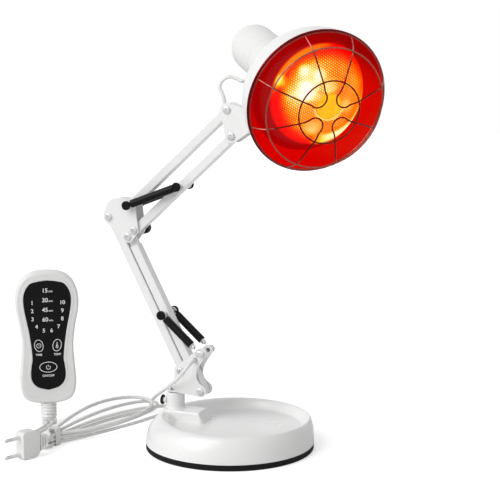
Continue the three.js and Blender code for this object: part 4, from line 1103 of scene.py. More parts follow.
def post_knob():
    face = POST_X - POST_RADIUS - GAP
    toward = ((face, 0, SCREW_HEIGHT), (face - 10, 0, SCREW_HEIGHT))
    grip = ribbed([(0, -4), (2, -4), (2, 4.4), *knob_profile(5.8, 4.4, 6.6, 0.7, 3.4)], 0.5, 20)
    collar = turned([
        (0, 0), *arc((4, 0.5), 0.5, 270, 360, 3), *arc((3.8, 1.3), 0.7, 0, 90, 4),
        (2.8, 2.2), (2.6, 4.3), (0, 4.3),
    ], 48)
    along_way(grip, *toward)
    along_way(collar, *toward)
    finished("post_knob_grip", "post_screw", "black_plastic", grip, ["post_knob"])
    finished("post_knob_collar", "post_screw", "white_plastic", collar)


base_shell()
base_pad()
post_knob()


# Bolts, pins and springs

SHANK_RADIUS, HEAD_RADIUS, HEAD_HEIGHT = 2.4, 4.3, 2.2
NUT_RADIUS, NUT_HEIGHT = 4.6, 3.2
PIN_RADIUS, PIN_END, CAP_RADIUS, CAP_LENGTH = 2.4, 16.4, 5.2, 3


def screw_head(turn, radius=HEAD_RADIUS, height=HEAD_HEIGHT):
    """A pan head with a cross recess, standing on Z = 0."""
    rounding = height * 0.62
    head = turned([
        (0, 0), (radius, 0), (radius, height * 0.35),
        *arc((radius - rounding, height * 0.38), rounding, 5, 78), (0, height),
    ], 56)
    long, half, deep = radius * 0.52, radius * 0.1, height * 0.45
    slots = [block((-x, -y, deep), (x, y, height + 1)) for x, y in ((long, half), (half, long))]
    for slot in slots:
        moved(slot, Matrix.Rotation(turn, 4, "Z"))
    return cut(head, *slots)


def hex_nut():
    """A nut standing on Z = 0, its corners turned off."""
    nut = rod((0, 0, 0), (0, 0, NUT_HEIGHT), NUT_RADIUS, 6)
    face, corner = NUT_RADIUS * 0.9, NUT_RADIUS + 0.05
    trim = turned([
        (0, -0.5), (face, -0.5), (corner, 0.5), (corner, NUT_HEIGHT - 0.5), (face, NUT_HEIGHT + 0.1),
        (0, NUT_HEIGHT + 0.1),
    ], 48)
    return carved(nut, "INTERSECT", trim)


def plate_bolt(name, body, place, node, turn, nut=True, tail=None):
    """A screw through both plates of a joint, its head turned as it was left, with a nut or a longer tail."""
    seat = PLATE_OUT + GAP
    head = across_y(screw_head(turn), place, -seat)
    end = seat + NUT_HEIGHT + 0.6 if tail is None else tail
    shank = cross(place, -seat - 0.2, end, SHANK_RADIUS, 32)
    soften(shank, 0.5, 2)
    parts = [head, shank]
    if nut:
        parts.append(across_y(hex_nut(), place, seat + NUT_HEIGHT))
    finished(name, body, "bright", together(*parts), [node])


def end_cap(profile, place, side, sides):
    """A turned cap on a pin's end: side -1 is the viewer's and 1 the back."""
    cap = turned(profile, sides)
    if side > 0:
        moved(cap, Matrix.Rotation(math.pi, 4, "X"))
    return across_y(cap, place, side * PIN_END)


def spring_pin(name, body, place, node):
    pin = cross(place, -PIN_END - 1, PIN_END + 1, PIN_RADIUS)
    finished(name + "_rod", body, "steel", pin)
    profile = [
        (0, 0), (CAP_RADIUS, 0), *arc((CAP_RADIUS - 1, CAP_LENGTH - 1), 1, 0, 90), (2.2, CAP_LENGTH),
        (1.9, CAP_LENGTH - 0.4), (0, CAP_LENGTH - 0.4),
    ]
    caps = [end_cap(profile, place, side, 56) for side in (-1, 1)]
    finished(name + "_caps", body, "black_plastic", together(*caps), [node])


HOOK_RADIUS, HOOK_TURN, HOOK_STEPS, HOOK_SHIFT = 3.5, 320, 24, 0.5
SPRING_WIRE, COIL_RADIUS, COIL_PITCH, COIL_INSET, COIL_STEPS = 0.62, 2.55, 1.36, 9, 14
SHANK_REACH, SHANK_RISE = 2.4, 0.4
SLEEVE_BORE, SLEEVE_END, SLEEVE_RADIUS = 3.6, 4.35, 4.55


def spring_line(length):
    """One wire: a hook round each pin and a close coil between them, made along X from the first pin."""
    points = []
    for step in range(HOOK_STEPS + 1):
        share = step / HOOK_STEPS
        turn = math.radians(HOOK_TURN - HOOK_TURN * share)
        points.append((HOOK_RADIUS * math.cos(turn), -HOOK_SHIFT * (1 - share), HOOK_RADIUS * math.sin(turn)))
    points.append((HOOK_RADIUS + SHANK_REACH, 0, SHANK_RISE))
    coil = length - 2 * COIL_INSET
    turns = round(coil / COIL_PITCH)
    last = turns * COIL_STEPS
    for step in range(last + 1):
        turn = step / last * turns * 2 * math.pi
        radius = COIL_RADIUS * min(1, 0.25 + step / 10, 0.25 + (last - step) / 10)
        points.append((COIL_INSET + coil * step / last, radius * math.sin(turn), radius * math.cos(turn)))
    points.append((length - HOOK_RADIUS - SHANK_REACH, 0, SHANK_RISE))
    for step in range(HOOK_STEPS + 1):
        share = step / HOOK_STEPS
        turn = math.radians(180 - HOOK_TURN * share)
        x, z = length + HOOK_RADIUS * math.cos(turn), HOOK_RADIUS * math.sin(turn)
        points.append((x, HOOK_SHIFT * share, z))
    return points


def laid(bm, start, lean, y):
    """Turns a body made along X to lean up from a place in the arm plane."""
    return moved(bm, Matrix.Translation((start[0], y, start[1])) @ Matrix.Rotation(-lean, 4, "Y"))


def springs():
    """The springs in their sleeves. The lower pair rides on one body, and the upper pair, named with two bodies,
    is left in place on none.
    """
    rows = [
        ("lower", LEVER_PIN, LOWER_PIN, 14, ["lower_springs"]),
        ("upper", ELBOW_LOW, UPPER_PIN, 5.6, ["upper_springs", "upper_spring_ends"]),
    ]
    for word, start, end, first, bodies in rows:
        reach = (end[0] - start[0], end[1] - start[1])
        length, lean = math.hypot(*reach), math.atan2(reach[1], reach[0])
        last = length - 5.6
        for side, face in ((-1, "front"), (1, "back")):
            y = side * SPRING_Y
            coil = laid(wire(spring_line(length), SPRING_WIRE, rounds=2), start, lean, y)
            tube = turned([
                (SLEEVE_BORE, first), (SLEEVE_END, first), (SLEEVE_RADIUS, first + 0.4),
                (SLEEVE_RADIUS, last - 0.4), (SLEEVE_END, last), (SLEEVE_BORE, last),
            ], 48, closed=True)
            sleeve = laid(moved(tube, Matrix.Rotation(math.pi / 2, 4, "Y")), start, lean, y)
            long = [edge for edge in sleeve.edges if edge.calc_length() > 20]
            bmesh.ops.subdivide_edges(sleeve, edges=long, cuts=12, use_grid_fill=True)
            body = bodies[0] if len(bodies) == 1 else None
            spring, cover = f"{word}_spring_{face}", f"{word}_sleeve_{face}"
            made = [
                finished(f"{word}_coil_{face}", body, "bright", coil, [spring], sharp=70),
                finished(f"{word}_tube_{face}", body, "sleeve", sleeve, [cover]),
            ]
            if body is None:
                for obj in made:
                    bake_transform(obj)


plate_bolt("lower_screw_left", "arm_foot", PIVOT_LEFT, "lower_bolt_left", 0.3)
plate_bolt("lower_screw_right", "arm_foot", PIVOT_RIGHT, "lower_bolt_right", 0.9)
plate_bolt("elbow_screw_left", "elbow", ELBOW_LEFT, "elbow_bolt_left", 0.6)
plate_bolt("elbow_screw_right", "elbow", ELBOW_RIGHT, "elbow_bolt_right", 0.1)
plate_bolt("elbow_friction_screw", "elbow", ELBOW_HIGH, "elbow_friction_bolt", 0.7, False, 18)
plate_bolt("head_screw_top", "head_mount", HEAD_TOP, "head_bolt_top", 0.2)
plate_bolt("head_screw_bottom", "head_mount", HEAD_BOTTOM, "head_bolt_bottom", 0.8)
spring_pin("lower_spring_post", "lower_right_arm", LOWER_PIN, "lower_spring_pin")
spring_pin("upper_spring_post", "upper_bottom_arm", UPPER_PIN, "upper_spring_pin")
spring_pin("elbow_spring_post", "elbow", ELBOW_LOW, "elbow_spring_bolt")
springs()


# Plates, bars and the elbow's knob

BRACKET_FLOOR, BRACKET_WEB = 58.2, 59.8
BORE, PIN_BORE, THROUGH = SHANK_RADIUS + 0.2, PIN_RADIUS + 0.2, 12
BAR_HALF, BAR_SIDE, BAR_WALL = 5, 6, 1.2
FORK_HALF, TONGUE_HALF, BUSH_RADIUS = 3.4, 2.6, 4
YOKE_NECK, YOKE_SEAT = 3.1, 8
# How far a cross wall stays inside the cheeks' outer faces
PLATE_LAP = 0.15


def through(place):
    """The hole for a screw through both cheeks."""
    return cross(place, -THROUGH, THROUGH, BORE)


def flat_plate(points, low, high):
    """A flat plate with any outline of X and Z, between two Y values."""
    return moved(block_of(points, -high, -low), Matrix.Rotation(math.pi / 2, 4, "X"))


LEVER_CURVE = [(-28.4, 100.2), (-33.2, 93), (-36.8, 85.5), (-37.6, 79), (-35.2, 72.9), (-31.2, 69.2)]
FLOOR_CORNER = 3.5
LEAD_BORE = 3.2
CHEEKS = {"front": (-PLATE_OUT, -PLATE_IN), "back": (PLATE_IN, PLATE_OUT)}


def lower_bracket():
    """Two cheeks with a lever each, which the lower springs pull on, joined by a floor and a back."""
    outline = [
        *arc(PIVOT_LEFT, 8, 180, 128), *arc(LEVER_PIN, 5.6, 128, -38),
        *[tuple(place) for place in even_line(LEVER_CURVE, 4)],
        *arc(PIVOT_RIGHT, 6.8, 62, -96, 14), *arc((-63, 60.2), 2, -96, -180, 4),
    ]
    cheeks = [flat_plate(outline, *span) for span in CHEEKS.values()]
    side = PLATE_OUT - PLATE_LAP
    floor = block((-74.5, -side, BRACKET_FLOOR), (-48, side, BRACKET_WEB))
    soften(floor, FLOOR_CORNER, 6, 60, lambda edge: spans(edge, 2) and edge.verts[0].co.x < -70)
    back = block((-64.9, -side, 64), (-63.3, side, 74))
    body = cut(
        union(*cheeks, floor, back),
        through(PIVOT_LEFT), through(PIVOT_RIGHT), cross(LEAD_HOLE, -THROUGH, 0, LEAD_BORE),
        rod((POST_X, 0, 50), (POST_X, 0, 70), SPIGOT_NECK + 0.2),
    )
    soften(body, 0.3, 2, 50)
    finished("lower_bracket_plate", "arm_foot", "white_paint", body, ["lower_bracket"])
    button = [(0, 0), (HEAD_RADIUS, 0), *arc((HEAD_RADIUS - 1.4, 0.6), 1.4, 0, 80), (0, HEAD_HEIGHT)]
    studs = []
    for side in (-1, 1):
        studs.append(cross(LEVER_PIN, *sorted((side * PLATE_IN, side * (PIN_END + 0.5))), PIN_RADIUS))
        studs.append(end_cap(button, LEVER_PIN, side, 48))
    finished("lever_studs", "arm_foot", "bright", together(*studs))
    # A black washer on the post's top, partly a real bush and partly standing in for the shaded gap between the
    # post and the bracket's floor.
    washer_and_shaded_gap = turned([(3.9, 0), (5.6, 0), (5.8, 0.2), (5.8, 0.7), (5.6, 0.9), (3.9, 0.9)], 48, closed=True)
    moved(washer_and_shaded_gap, Matrix.Translation((POST_X, 0, POST_TOP + 0.4)))
    finished("post_washer_and_shaded_gap", "arm_foot", "black_plastic", washer_and_shaded_gap)
    spigot = turned([
        (0, 29.3), (5.6, 29.3), (SPIGOT_RADIUS, 29.9), (SPIGOT_RADIUS, 57.9), (SPIGOT_NECK, 57.9),
        (SPIGOT_NECK, 60.1), (6, 60.1), (6, 61.4), *arc((5, 61.5), 1, 0, 90, 4), (0, 62.5),
    ], 64)
    moved(spigot, Matrix.Translation((POST_X, 0, 0)))
    finished("swivel_pin", "arm_foot", "steel", spigot, ["swivel_spigot"])


def bar(name, body, node, start, reach, fork, pin_share):
    """A tube with rounded corners. A lower bar's far end is a tongue, and an upper bar's near end a fork."""
    length = math.hypot(*reach)
    tube = hull([(0, 0, BAR_HALF), (length, 0, BAR_HALF)], -BAR_SIDE, BAR_SIDE, 40)
    soften(tube, 1.1, 4)
    side, wall = BAR_SIDE - BAR_WALL, BAR_HALF - BAR_WALL
    pocket = (13, length + 7) if fork else (8, length - 13)
    tools = [block((pocket[0], -side, -wall), (pocket[1], side, wall))]
    if fork:
        tools.append(block((-6, -FORK_HALF, -10), (14, FORK_HALF, 10)))
    else:
        tools.append(block((length - 12, -10, -10), (length + 6, -TONGUE_HALF, 10)))
        tools.append(block((length - 12, TONGUE_HALF, -10), (length + 6, 10, 10)))
    bushes = []
    for x in (0, length):
        inner = side if fork or x == 0 else TONGUE_HALF - BAR_WALL
        bushes.append(cross((x, 0), -PLATE_IN + GAP, -inner, BUSH_RADIUS, 40))
        bushes.append(cross((x, 0), inner, PLATE_IN - GAP, BUSH_RADIUS, 40))
    bores = [cross((x, 0), -9, 9, BORE) for x in (0, length)]
    if pin_share:
        bores.append(cross((length * pin_share, 0), -9, 9, PIN_BORE))
    made = cut(union(cut(tube, *tools), *bushes), *bores)
    laid(made, start, math.atan2(reach[1], reach[0]), 0)
    finished(name, body, "white_paint", made, [node])


def elbow_plates():
    circles = [(*ELBOW_LEFT, 7), (*ELBOW_RIGHT, 7), (*ELBOW_HIGH, 5.6), (*ELBOW_LOW, 7), (*ELBOW_CROWN, 14.6)]
    places = (ELBOW_LEFT, ELBOW_RIGHT, ELBOW_HIGH, ELBOW_LOW)
    for face, (low, high) in CHEEKS.items():
        made = hull(circles, low, high, 72)
        made = cut(made, *[cross(place, low - 1, high + 1, BORE) for place in places])
        soften(made, 0.35, 2, 50)
        finished(f"elbow_cheek_{face}", "elbow", "white_paint", made, [f"elbow_plate_{face}"])


def elbow_knob():
    seat = PLATE_OUT + GAP
    neck = [(0, 8.4), (BORE, 8.4), (BORE, 0), (3.6, 0), (3.6, 3.6)]
    knob = ribbed([*neck, *knob_profile(7, 3.6, 12.6, 0.9, 4.4)], 0.6, 16)
    along_way(knob, (ELBOW_HIGH[0], seat, ELBOW_HIGH[1]), (ELBOW_HIGH[0], seat + 1, ELBOW_HIGH[1]))
    finished("elbow_knob_grip", "elbow_grip", "black_plastic", knob, ["elbow_knob"])


def head_bracket():
    circles = [(*HEAD_TOP, 7.5), (*HEAD_BOTTOM, 7.5), (*NOSE, 7)]
    side = PLATE_OUT - PLATE_LAP
    nose = block((28, -side, 363), (40, side, 377))
    soften(nose, 1.2, 3, 60, lambda edge: max(vert.co.x for vert in edge.verts) > 39)
    body = cut(
        union(*[hull(circles, *span, 64) for span in CHEEKS.values()], nose),
        through(HEAD_TOP), through(HEAD_BOTTOM),
        rod((NOSE[0], 0, 360), (NOSE[0], 0, 380), YOKE_NECK + 0.2),
    )
    soften(body, 0.3, 2, 50)
    finished("head_bracket_plate", "head_mount", "white_paint", body, ["head_bracket"])


def at_nose(bm, height=0.0):
    """Puts what was made round Z on the head's swivel, turned as the bowl is."""
    return moved(bm, Matrix.Translation((NOSE[0], 0, height)) @ Matrix.Rotation(SIDE_TURN, 4, "Z"))


def yoke():
    cheeks = []
    for side in (-1, 1):
        low, high = sorted((side * 2.8, side * 5))
        plate = hull([(0, TILT_HEIGHT, 5.6), (-4.6, 378.4, 1), (4.6, 378.4, 1)], low, high, 48)
        soften(plate, 0.3, 2, 50)
        cheeks.append(moved(plate, Matrix.Rotation(math.pi / 2, 4, "Z")))
    body = turned([
        (0, 359.7), (4.6, 359.7), (5, 360.1), (5, 362.7), (YOKE_NECK, 362.7), (YOKE_NECK, 377.3),
        (YOKE_SEAT - 0.4, 377.3), (YOKE_SEAT, 377.7), (YOKE_SEAT, 379.6), (YOKE_SEAT - 0.7, 380.3),
        (0, 380.3),
    ], 64)
    bore = rod((-9, 0, TILT_HEIGHT), (9, 0, TILT_HEIGHT), BORE)
    made = at_nose(cut(union(body, *cheeks), bore))
    finished("yoke_fork", "head_yoke", "white_paint", made, ["swivel_yoke"])


def tilt_knob():
    shank = [(0, -5.3), (SHANK_RADIUS, -5.3), (SHANK_RADIUS, 5.3)]
    knob = ribbed([*shank, *knob_profile(5.6, 5.3, 14.3, 0.9, 3.4)], 0.5, 14)
    at_nose(along_way(knob, (0, 0, 0), (1, 0, 0)), TILT_HEIGHT)
    finished("tilt_knob_grip", "tilt_screw", "white_plastic", knob, ["tilt_knob"])
    head = screw_head(0.5, 4.2, 2)
    at_nose(along_way(head, (-5.3, 0, 0), (-6.3, 0, 0)), TILT_HEIGHT)
    finished("tilt_screw_head", "tilt_screw", "bright", head)


lower_bracket()
for name, body, node, start, reach, fork, pin_share in (
    ("lower_back_tube", "lower_left_arm", "lower_left_bar", PIVOT_LEFT, LOWER_REACH, False, 0),
    ("lower_front_tube", "lower_right_arm", "lower_right_bar", PIVOT_RIGHT, LOWER_REACH, False, LOWER_PIN_SHARE),
    ("upper_top_tube", "upper_top_arm", "upper_top_bar", ELBOW_LOW, UPPER_REACH, True, 0),
    ("upper_bottom_tube", "upper_bottom_arm", "upper_bottom_bar", ELBOW_HIGH, UPPER_REACH, True, UPPER_PIN_SHARE),
):
    bar(name, body, node, start, reach, fork, pin_share)
elbow_plates()
elbow_knob()
head_bracket()
yoke()
tilt_knob()


# Head

SHADE_RADIUS, SHADE_DEPTH, SHADE_WALL, SHADE_STEPS, RIM_BEAD = 75.6, 80, 1.5, 30, 1.6
HOUSING_RADIUS, HOUSING_FRONT, HOUSING_BACK, HOUSING_WALL = 26.5, -70, -172.5, 2
BULB_RADIUS, BULB_BACK, BULB_NECK, BULB_WALL, BULB_SPAN = 61.5, -111, 17, 1.2, 7
# The bulb's side: shares of its radius and of its way from its face to its back
BULB_SIDE = [
    (0.62, 0.035), (0.9, 0.085), (1, 0.15), (0.93, 0.27), (0.81, 0.36), (0.64, 0.47), (0.43, 0.58),
]
# The guard's rings, and how far each stands out of the rim's plane
GUARD_WIRE, GUARD_RIM, GUARD_MIDDLE, GUARD_INNER = 0.8, 74.6, 64, 33.3
GUARD_HEIGHTS = (3.0, 20.7, 31.6)
GUARD_SPREAD, GUARD_TIP, GUARD_BEND = math.radians(25), 21, 9.5
RING_STEPS = 120


def bowl_wall(radius, depth):
    """The bowl's half outline, an ellipse from the housing out to the rim."""
    back = depth * math.sqrt(1 - ((HOUSING_RADIUS + GAP) / radius) ** 2)
    points = []
    for step in range(SHADE_STEPS + 1):
        along = -back * math.cos(step / SHADE_STEPS * math.pi / 2)
        points.append((radius * math.sqrt(1 - (along / depth) ** 2), along))
    return points


def shade():
    """The bowl, white outside, its inside painted with the bulb's red glow and its rim bead painted with the
    guard's red reflection.
    """
    inside = bowl_wall(SHADE_RADIUS - SHADE_WALL, SHADE_DEPTH - SHADE_WALL)
    bead = [(75.8, -RIM_BEAD), *arc((75.3, 0.15), 1.45, -80, 170, 12)]
    profile = [*bowl_wall(SHADE_RADIUS, SHADE_DEPTH)[:-1], *bead, *reversed(inside)]
    bm = moved(turned(profile, 128, closed=True), HEAD)
    made = finished("shade_bowl", "head", "white_paint", bm, ["shade"])
    made.data.materials.append(LOOKS["lining"])
    made.data.materials.append(LOOKS["guard_wire"])
    axis, centre = HEAD_AXIS, HEAD_CENTRE * MM
    for face in made.data.polygons:
        away = face.center - centre
        out = away - axis * away.dot(axis)
        # The rim bead takes the guard's painted red reflection, and the inside faces take the painted glow.
        if away.dot(axis) > -RIM_BEAD * MM:
            face.material_index = 2
        elif face.normal.dot(out) < 0:
            face.material_index = 1


def socket_housing():
    """A tube with a domed back and a seam round it."""
    inner, seam = HOUSING_RADIUS - HOUSING_WALL, HOUSING_RADIUS - 0.4
    profile = [
        *arc((0, HOUSING_BACK), HOUSING_RADIUS, -90, 0, 20),
        (HOUSING_RADIUS, -127.6), (seam, -127.3), (seam, -126.7), (HOUSING_RADIUS, -126.4),
        (HOUSING_RADIUS, HOUSING_FRONT), (inner, HOUSING_FRONT), *arc((0, HOUSING_BACK), inner, 0, -90, 12),
    ]
    made = moved(turned(profile, 96), HEAD)
    finished("lamp_neck", "head", "white_plastic", made, ["socket_housing"])


def bulb():
    """The reflector bulb's envelope, thick at its face and drawn out thin towards its neck."""
    length = BULB_BACK - BULB_FACE
    outside = [Vector((0, BULB_FACE, 0))]
    outside += [Vector((BULB_RADIUS * out, BULB_FACE + length * along, 0)) for out, along in BULB_SIDE]
    outside += [Vector((BULB_NECK, BULB_FACE + length * 0.72, 0)), Vector((BULB_NECK, BULB_BACK, 0))]
    line = [(max(place.x, 0), place.y) for place in sampled(outside, BULB_SPAN)]
    inside = []
    for index, (radius, along) in enumerate(line):
        facing = max(0, 1 - index / (4 * BULB_SPAN))
        if radius > BULB_WALL:
            inside.append((radius - BULB_WALL, along - BULB_WALL * facing))
    profile = [*line, *reversed(inside), (0, inside[0][1])]
    made = moved(turned(profile, 112), HEAD)
    finished("bulb_envelope", "head", "red_glass", made, ["bulb_glass"])


def guard_height(radius):
    """How far out the guard's cage stands at a distance from the bowl's axis."""
    rim, middle, inner = GUARD_HEIGHTS
    if radius >= GUARD_MIDDLE:
        return rim + (middle - rim) * (GUARD_RIM - radius) / (GUARD_RIM - GUARD_MIDDLE)
    share = (GUARD_MIDDLE - radius) / (GUARD_MIDDLE - GUARD_INNER)
    return middle + (inner - middle) * min(share, 1.06)


def guard_ring(radius):
    height = guard_height(radius)
    points = []
    for step in range(RING_STEPS):
        turn = step / RING_STEPS * 2 * math.pi
        points.append((radius * math.cos(turn), radius * math.sin(turn), height))
    return wire(points, GUARD_WIRE, cyclic=True)


def guard_loop(turn):
    """A hairpin of wire from the rim to near the axis and back."""
    foot = Vector((GUARD_RIM * math.cos(GUARD_SPREAD), GUARD_RIM * math.sin(GUARD_SPREAD)))
    edge = Vector((GUARD_TIP, GUARD_BEND))
    leg = [foot.lerp(edge, step / 6) for step in range(6)]
    tip = []
    for step in range(9):
        angle = (1 / 2 + step / 8) * math.pi
        tip.append(Vector((GUARD_TIP + GUARD_BEND * math.cos(angle), GUARD_BEND * math.sin(angle))))
    back = [Vector((point.x, -point.y)) for point in reversed(leg)]
    points = [(point.x, point.y, guard_height(point.length)) for point in (*leg, *tip, *back)]
    return moved(wire(sampled(points, 6), GUARD_WIRE), Matrix.Rotation(turn, 4, "Z"))


def wire_guard():
    loops = [guard_loop(math.radians(45 + 90 * place)) for place in range(4)]
    rings = [guard_ring(radius) for radius in (GUARD_RIM, GUARD_MIDDLE, GUARD_INNER)]
    made = moved(together(*rings, *loops), HEAD)
    finished("guard_cage", "head", "guard_wire", made, ["wire_guard"], sharp=60)


def shade_lug():
    """The lug under the bowl's back, which the tilt screw holds in the yoke."""
    tilt = HEAD.inverted() @ Vector((NOSE[0], 0, TILT_HEIGHT))
    lug = hull([(0, 0, 5.4), (-12, 24, 1), (14, 24, 1)], -2.5, 2.5)
    standing = Matrix(((0, 1, 0, 0), (0, 0, 1, 0), (1, 0, 0, 0), (0, 0, 0, 1)))
    moved(lug, Matrix.Translation(tilt) @ standing)
    neck = rod((0, 0, HOUSING_BACK), (0, 0, 0), HOUSING_RADIUS + GAP, 72)
    bore = rod((tilt.x - 5, tilt.y, tilt.z), (tilt.x + 5, tilt.y, tilt.z), BORE)
    made = cut(lug, neck, bore)
    soften(made, 0.4, 2, 50)
    finished("head_lug", "head", "white_paint", moved(made, HEAD), ["shade_lug"])


shade()
socket_housing()
bulb()
wire_guard()
shade_lug()


# Handset: Y is up and Z faces the viewer. The shares are an outline's half width and height.

HANDSET_BOTTOM, HANDSET_TOP, HANDSET_HALF = 27, 186, 37.4
HANDSET_BACK, HANDSET_FRONT, HANDSET_WALL = -12, 10, 2
PANEL_BOTTOM, PANEL_TOP, PANEL_HALF = 43.7, 175.5, 27.8
PANEL_FLOOR = 8.9
KEY_BOTTOM, KEY_TOP, ABOVE_KEYS = 2.2, 10.5, 12
BOOT_FOOT, BOOT_RIBS, BOOT_RADIUS, BOOT_COLLAR = 8.4, 4, 8.3, 9.8
BEZEL_WIDTH, BEZEL_RISE = 2.9, 0.5
INK_WIDTH, INK_RISE = 0.016, 0.02
HANDSET_SHARES = [
    (0.3, 0), (0.62, 0.02), (0.82, 0.07), (0.885, 0.165), (0.845, 0.3), (0.81, 0.44),
    (0.87, 0.58), (0.99, 0.74), (0.93, 0.87), (0.72, 0.95), (0.4, 0.99), (0, 1),
]
PANEL_SHARES = [
    (0, 0), (0.42, 0.025), (0.66, 0.075), (0.73, 0.14), (0.7, 0.22), (0.655, 0.31),
    (0.77, 0.52), (0.98, 0.76), (0.97, 0.88), (0.74, 0.965), (0.4, 0.99), (0, 1),
]
# Each key's word, body, half width and half height, middle, and lean in degrees
KEYS = [
    ("time", "time_key", (5.7, 7.8), (-10.7, 97.6), 12),
    ("temp", "temp_key", (5.7, 7.8), (10.7, 97.6), -12),
    ("power", "power_key", (10.9, 6.9), (0, 71.4), 0),
]


def waisted(shares, half, bottom, top, inset):
    """A smooth outline with two like sides, drawn inwards by an inset."""
    right = [(half * out, bottom + (top - bottom) * up) for out, up in shares]
    spline = even_line(right)
    drawn = []
    for place, point in enumerate(spline):
        along = spline[min(place + 1, len(spline) - 1)] - spline[max(place - 1, 0)]
        along.normalize()
        drawn.append((max(point.x - along.y * inset, 0), point.y + along.x * inset))
    return [*drawn, *[(-x, y) for x, y in reversed(drawn) if x > 0.01]]


def handset_block(inset, low, high):
    return block_of(waisted(HANDSET_SHARES, HANDSET_HALF, HANDSET_BOTTOM, HANDSET_TOP, inset), low, high)


def panel_block(inset, low, high):
    return block_of(waisted(PANEL_SHARES, PANEL_HALF, PANEL_BOTTOM, PANEL_TOP, inset), low, high)


def key_block(size, place, lean, grow, low, high):
    """An oval key or the hole for one."""
    bm = rod((0, 0, low), (0, 0, high), 1, 56)
    scale = Matrix.Diagonal((size[0] + grow, size[1] + grow, 1, 1))
    return moved(bm, Matrix.Translation((*place, 0)) @ Matrix.Rotation(math.radians(lean), 4, "Z") @ scale)


def key_holes(low):
    return [key_block(size, place, lean, GAP, low, ABOVE_KEYS) for _, _, size, place, lean in KEYS]


def half_shell(seam, face, rounding):
    """One half of the case, from its seam to its back or front."""
    shell = handset_block(0, *sorted((seam, face)))
    soften(shell, rounding, 6, 60, level_edges(face))
    return soften(shell, 0.35, 2, 60, level_edges(seam))


def handset_shells():
    back = cut(half_shell(0, HANDSET_BACK, 3.4), handset_block(HANDSET_WALL, HANDSET_BACK + HANDSET_WALL, 1))
    front = cut(
        half_shell(GAP, HANDSET_FRONT, 3.2), handset_block(HANDSET_WALL, -1, PANEL_FLOOR - HANDSET_WALL),
        panel_block(-GAP, PANEL_FLOOR, HANDSET_FRONT + 1), *key_holes(-1),
    )
    moved(back, HANDSET)
    moved(front, HANDSET)
    finished("handset_rear", "base", "white_plastic", back, ["handset_back"])
    finished("handset_face", "base", "white_plastic", front, ["handset_front"])


def handset_panel():
    panel = panel_block(0, PANEL_FLOOR + GAP, HANDSET_FRONT)
    soften(panel, 0.25, 2, 60, level_edges(HANDSET_FRONT))
    made = moved(cut(panel, *key_holes(5)), HANDSET)
    finished("handset_film", "base", "black_panel", made, ["handset_panel"])


def handset_bezel():
    """The low raised border round the panel."""
    rim = panel_block(-BEZEL_WIDTH, HANDSET_FRONT - 0.4, HANDSET_FRONT + BEZEL_RISE)
    soften(rim, 0.4, 3, 60, level_edges(HANDSET_FRONT + BEZEL_RISE))
    made = cut(rim, panel_block(-GAP, HANDSET_FRONT - 1, HANDSET_FRONT + 1))
    finished("handset_bezel", "base", "white_plastic", moved(made, HANDSET))


def words(text, place, size):
    """Printed letters, a hair proud of the panel."""
    data = bpy.data.curves.new("words", "FONT")
    data.body = text
    data.size = size
    data.align_x, data.align_y = "CENTER", "CENTER"
    data.offset = size * INK_WIDTH
    data.extrude = INK_RISE
    obj = bpy.data.objects.new("words", data)
    bpy.context.scene.collection.objects.link(obj)
    bpy.context.view_layer.update()
    mesh = bpy.data.meshes.new_from_object(obj.evaluated_get(bpy.context.evaluated_depsgraph_get()))
    bm = bmesh.new()
    bm.from_mesh(mesh)
    bmesh.ops.remove_doubles(bm, verts=bm.verts, dist=0.0005)
    bpy.data.objects.remove(obj)
    bpy.data.curves.remove(data)
    bpy.data.meshes.remove(mesh)
    return moved(bm, Matrix.Translation((*place, HANDSET_FRONT + 0.03)))


def stroke(points, width, height, cyclic=False):
    """A printed line, made of a wire pressed almost flat."""
    bm = wire([(x, y, 0) for x, y in points], width / 2, cyclic, 1)
    flat = Matrix.Diagonal((1, 1, 0.12, 1))
    return moved(bm, Matrix.Translation((0, 0, height)) @ flat)


def ring_points(size, place, lean=0, grow=0, start=0, end=360, steps=48):
    """Points round an oval, or a part of it between two angles in degrees."""
    turn = Matrix.Rotation(math.radians(lean), 2)
    points = []
    for step in range(steps):
        angle = math.radians(start + (end - start) * step / steps)
        point = turn @ Vector(((size[0] + grow) * math.cos(angle), (size[1] + grow) * math.sin(angle)))
        points.append((place[0] + point.x, place[1] + point.y))
    return points


# Each print's text, middle and letter size
PRINTS = [
    ("TIME", (-10.7, 86.4), 3.6), ("TEMP", (10.9, 86.4), 3.6), ("ON/OFF", (0, 60.8), 3.9),
]
DIGIT_SIZE = 6.6
DIGIT_PLACES = [
    (-17.6, 148.9), (-17.6, 139.2), (-17.4, 129.4), (-12.8, 120.3), (-4.4, 115.4),
    (4.6, 115.4), (12.9, 119.8), (17.4, 129.2), (17.6, 138.9), (17.7, 148.7),
]
PRINTS[:0] = [(str(digit), place, DIGIT_SIZE) for digit, place in enumerate(DIGIT_PLACES, 1)]
MINUTES_TOP, MINUTES_STEP = 163.4, 11.6
for row, minutes in enumerate(("15", "30", "45", "60")):
    height = MINUTES_TOP - MINUTES_STEP * row
    PRINTS += [(minutes, (-2.6, height), 7), ("min", (4.1, height - 0.9), 3.4)]


def handset_print():
    parts = [words(text, place, size) for text, place, size in PRINTS]
    finished("handset_print", "base", "print", moved(together(*parts), HANDSET))


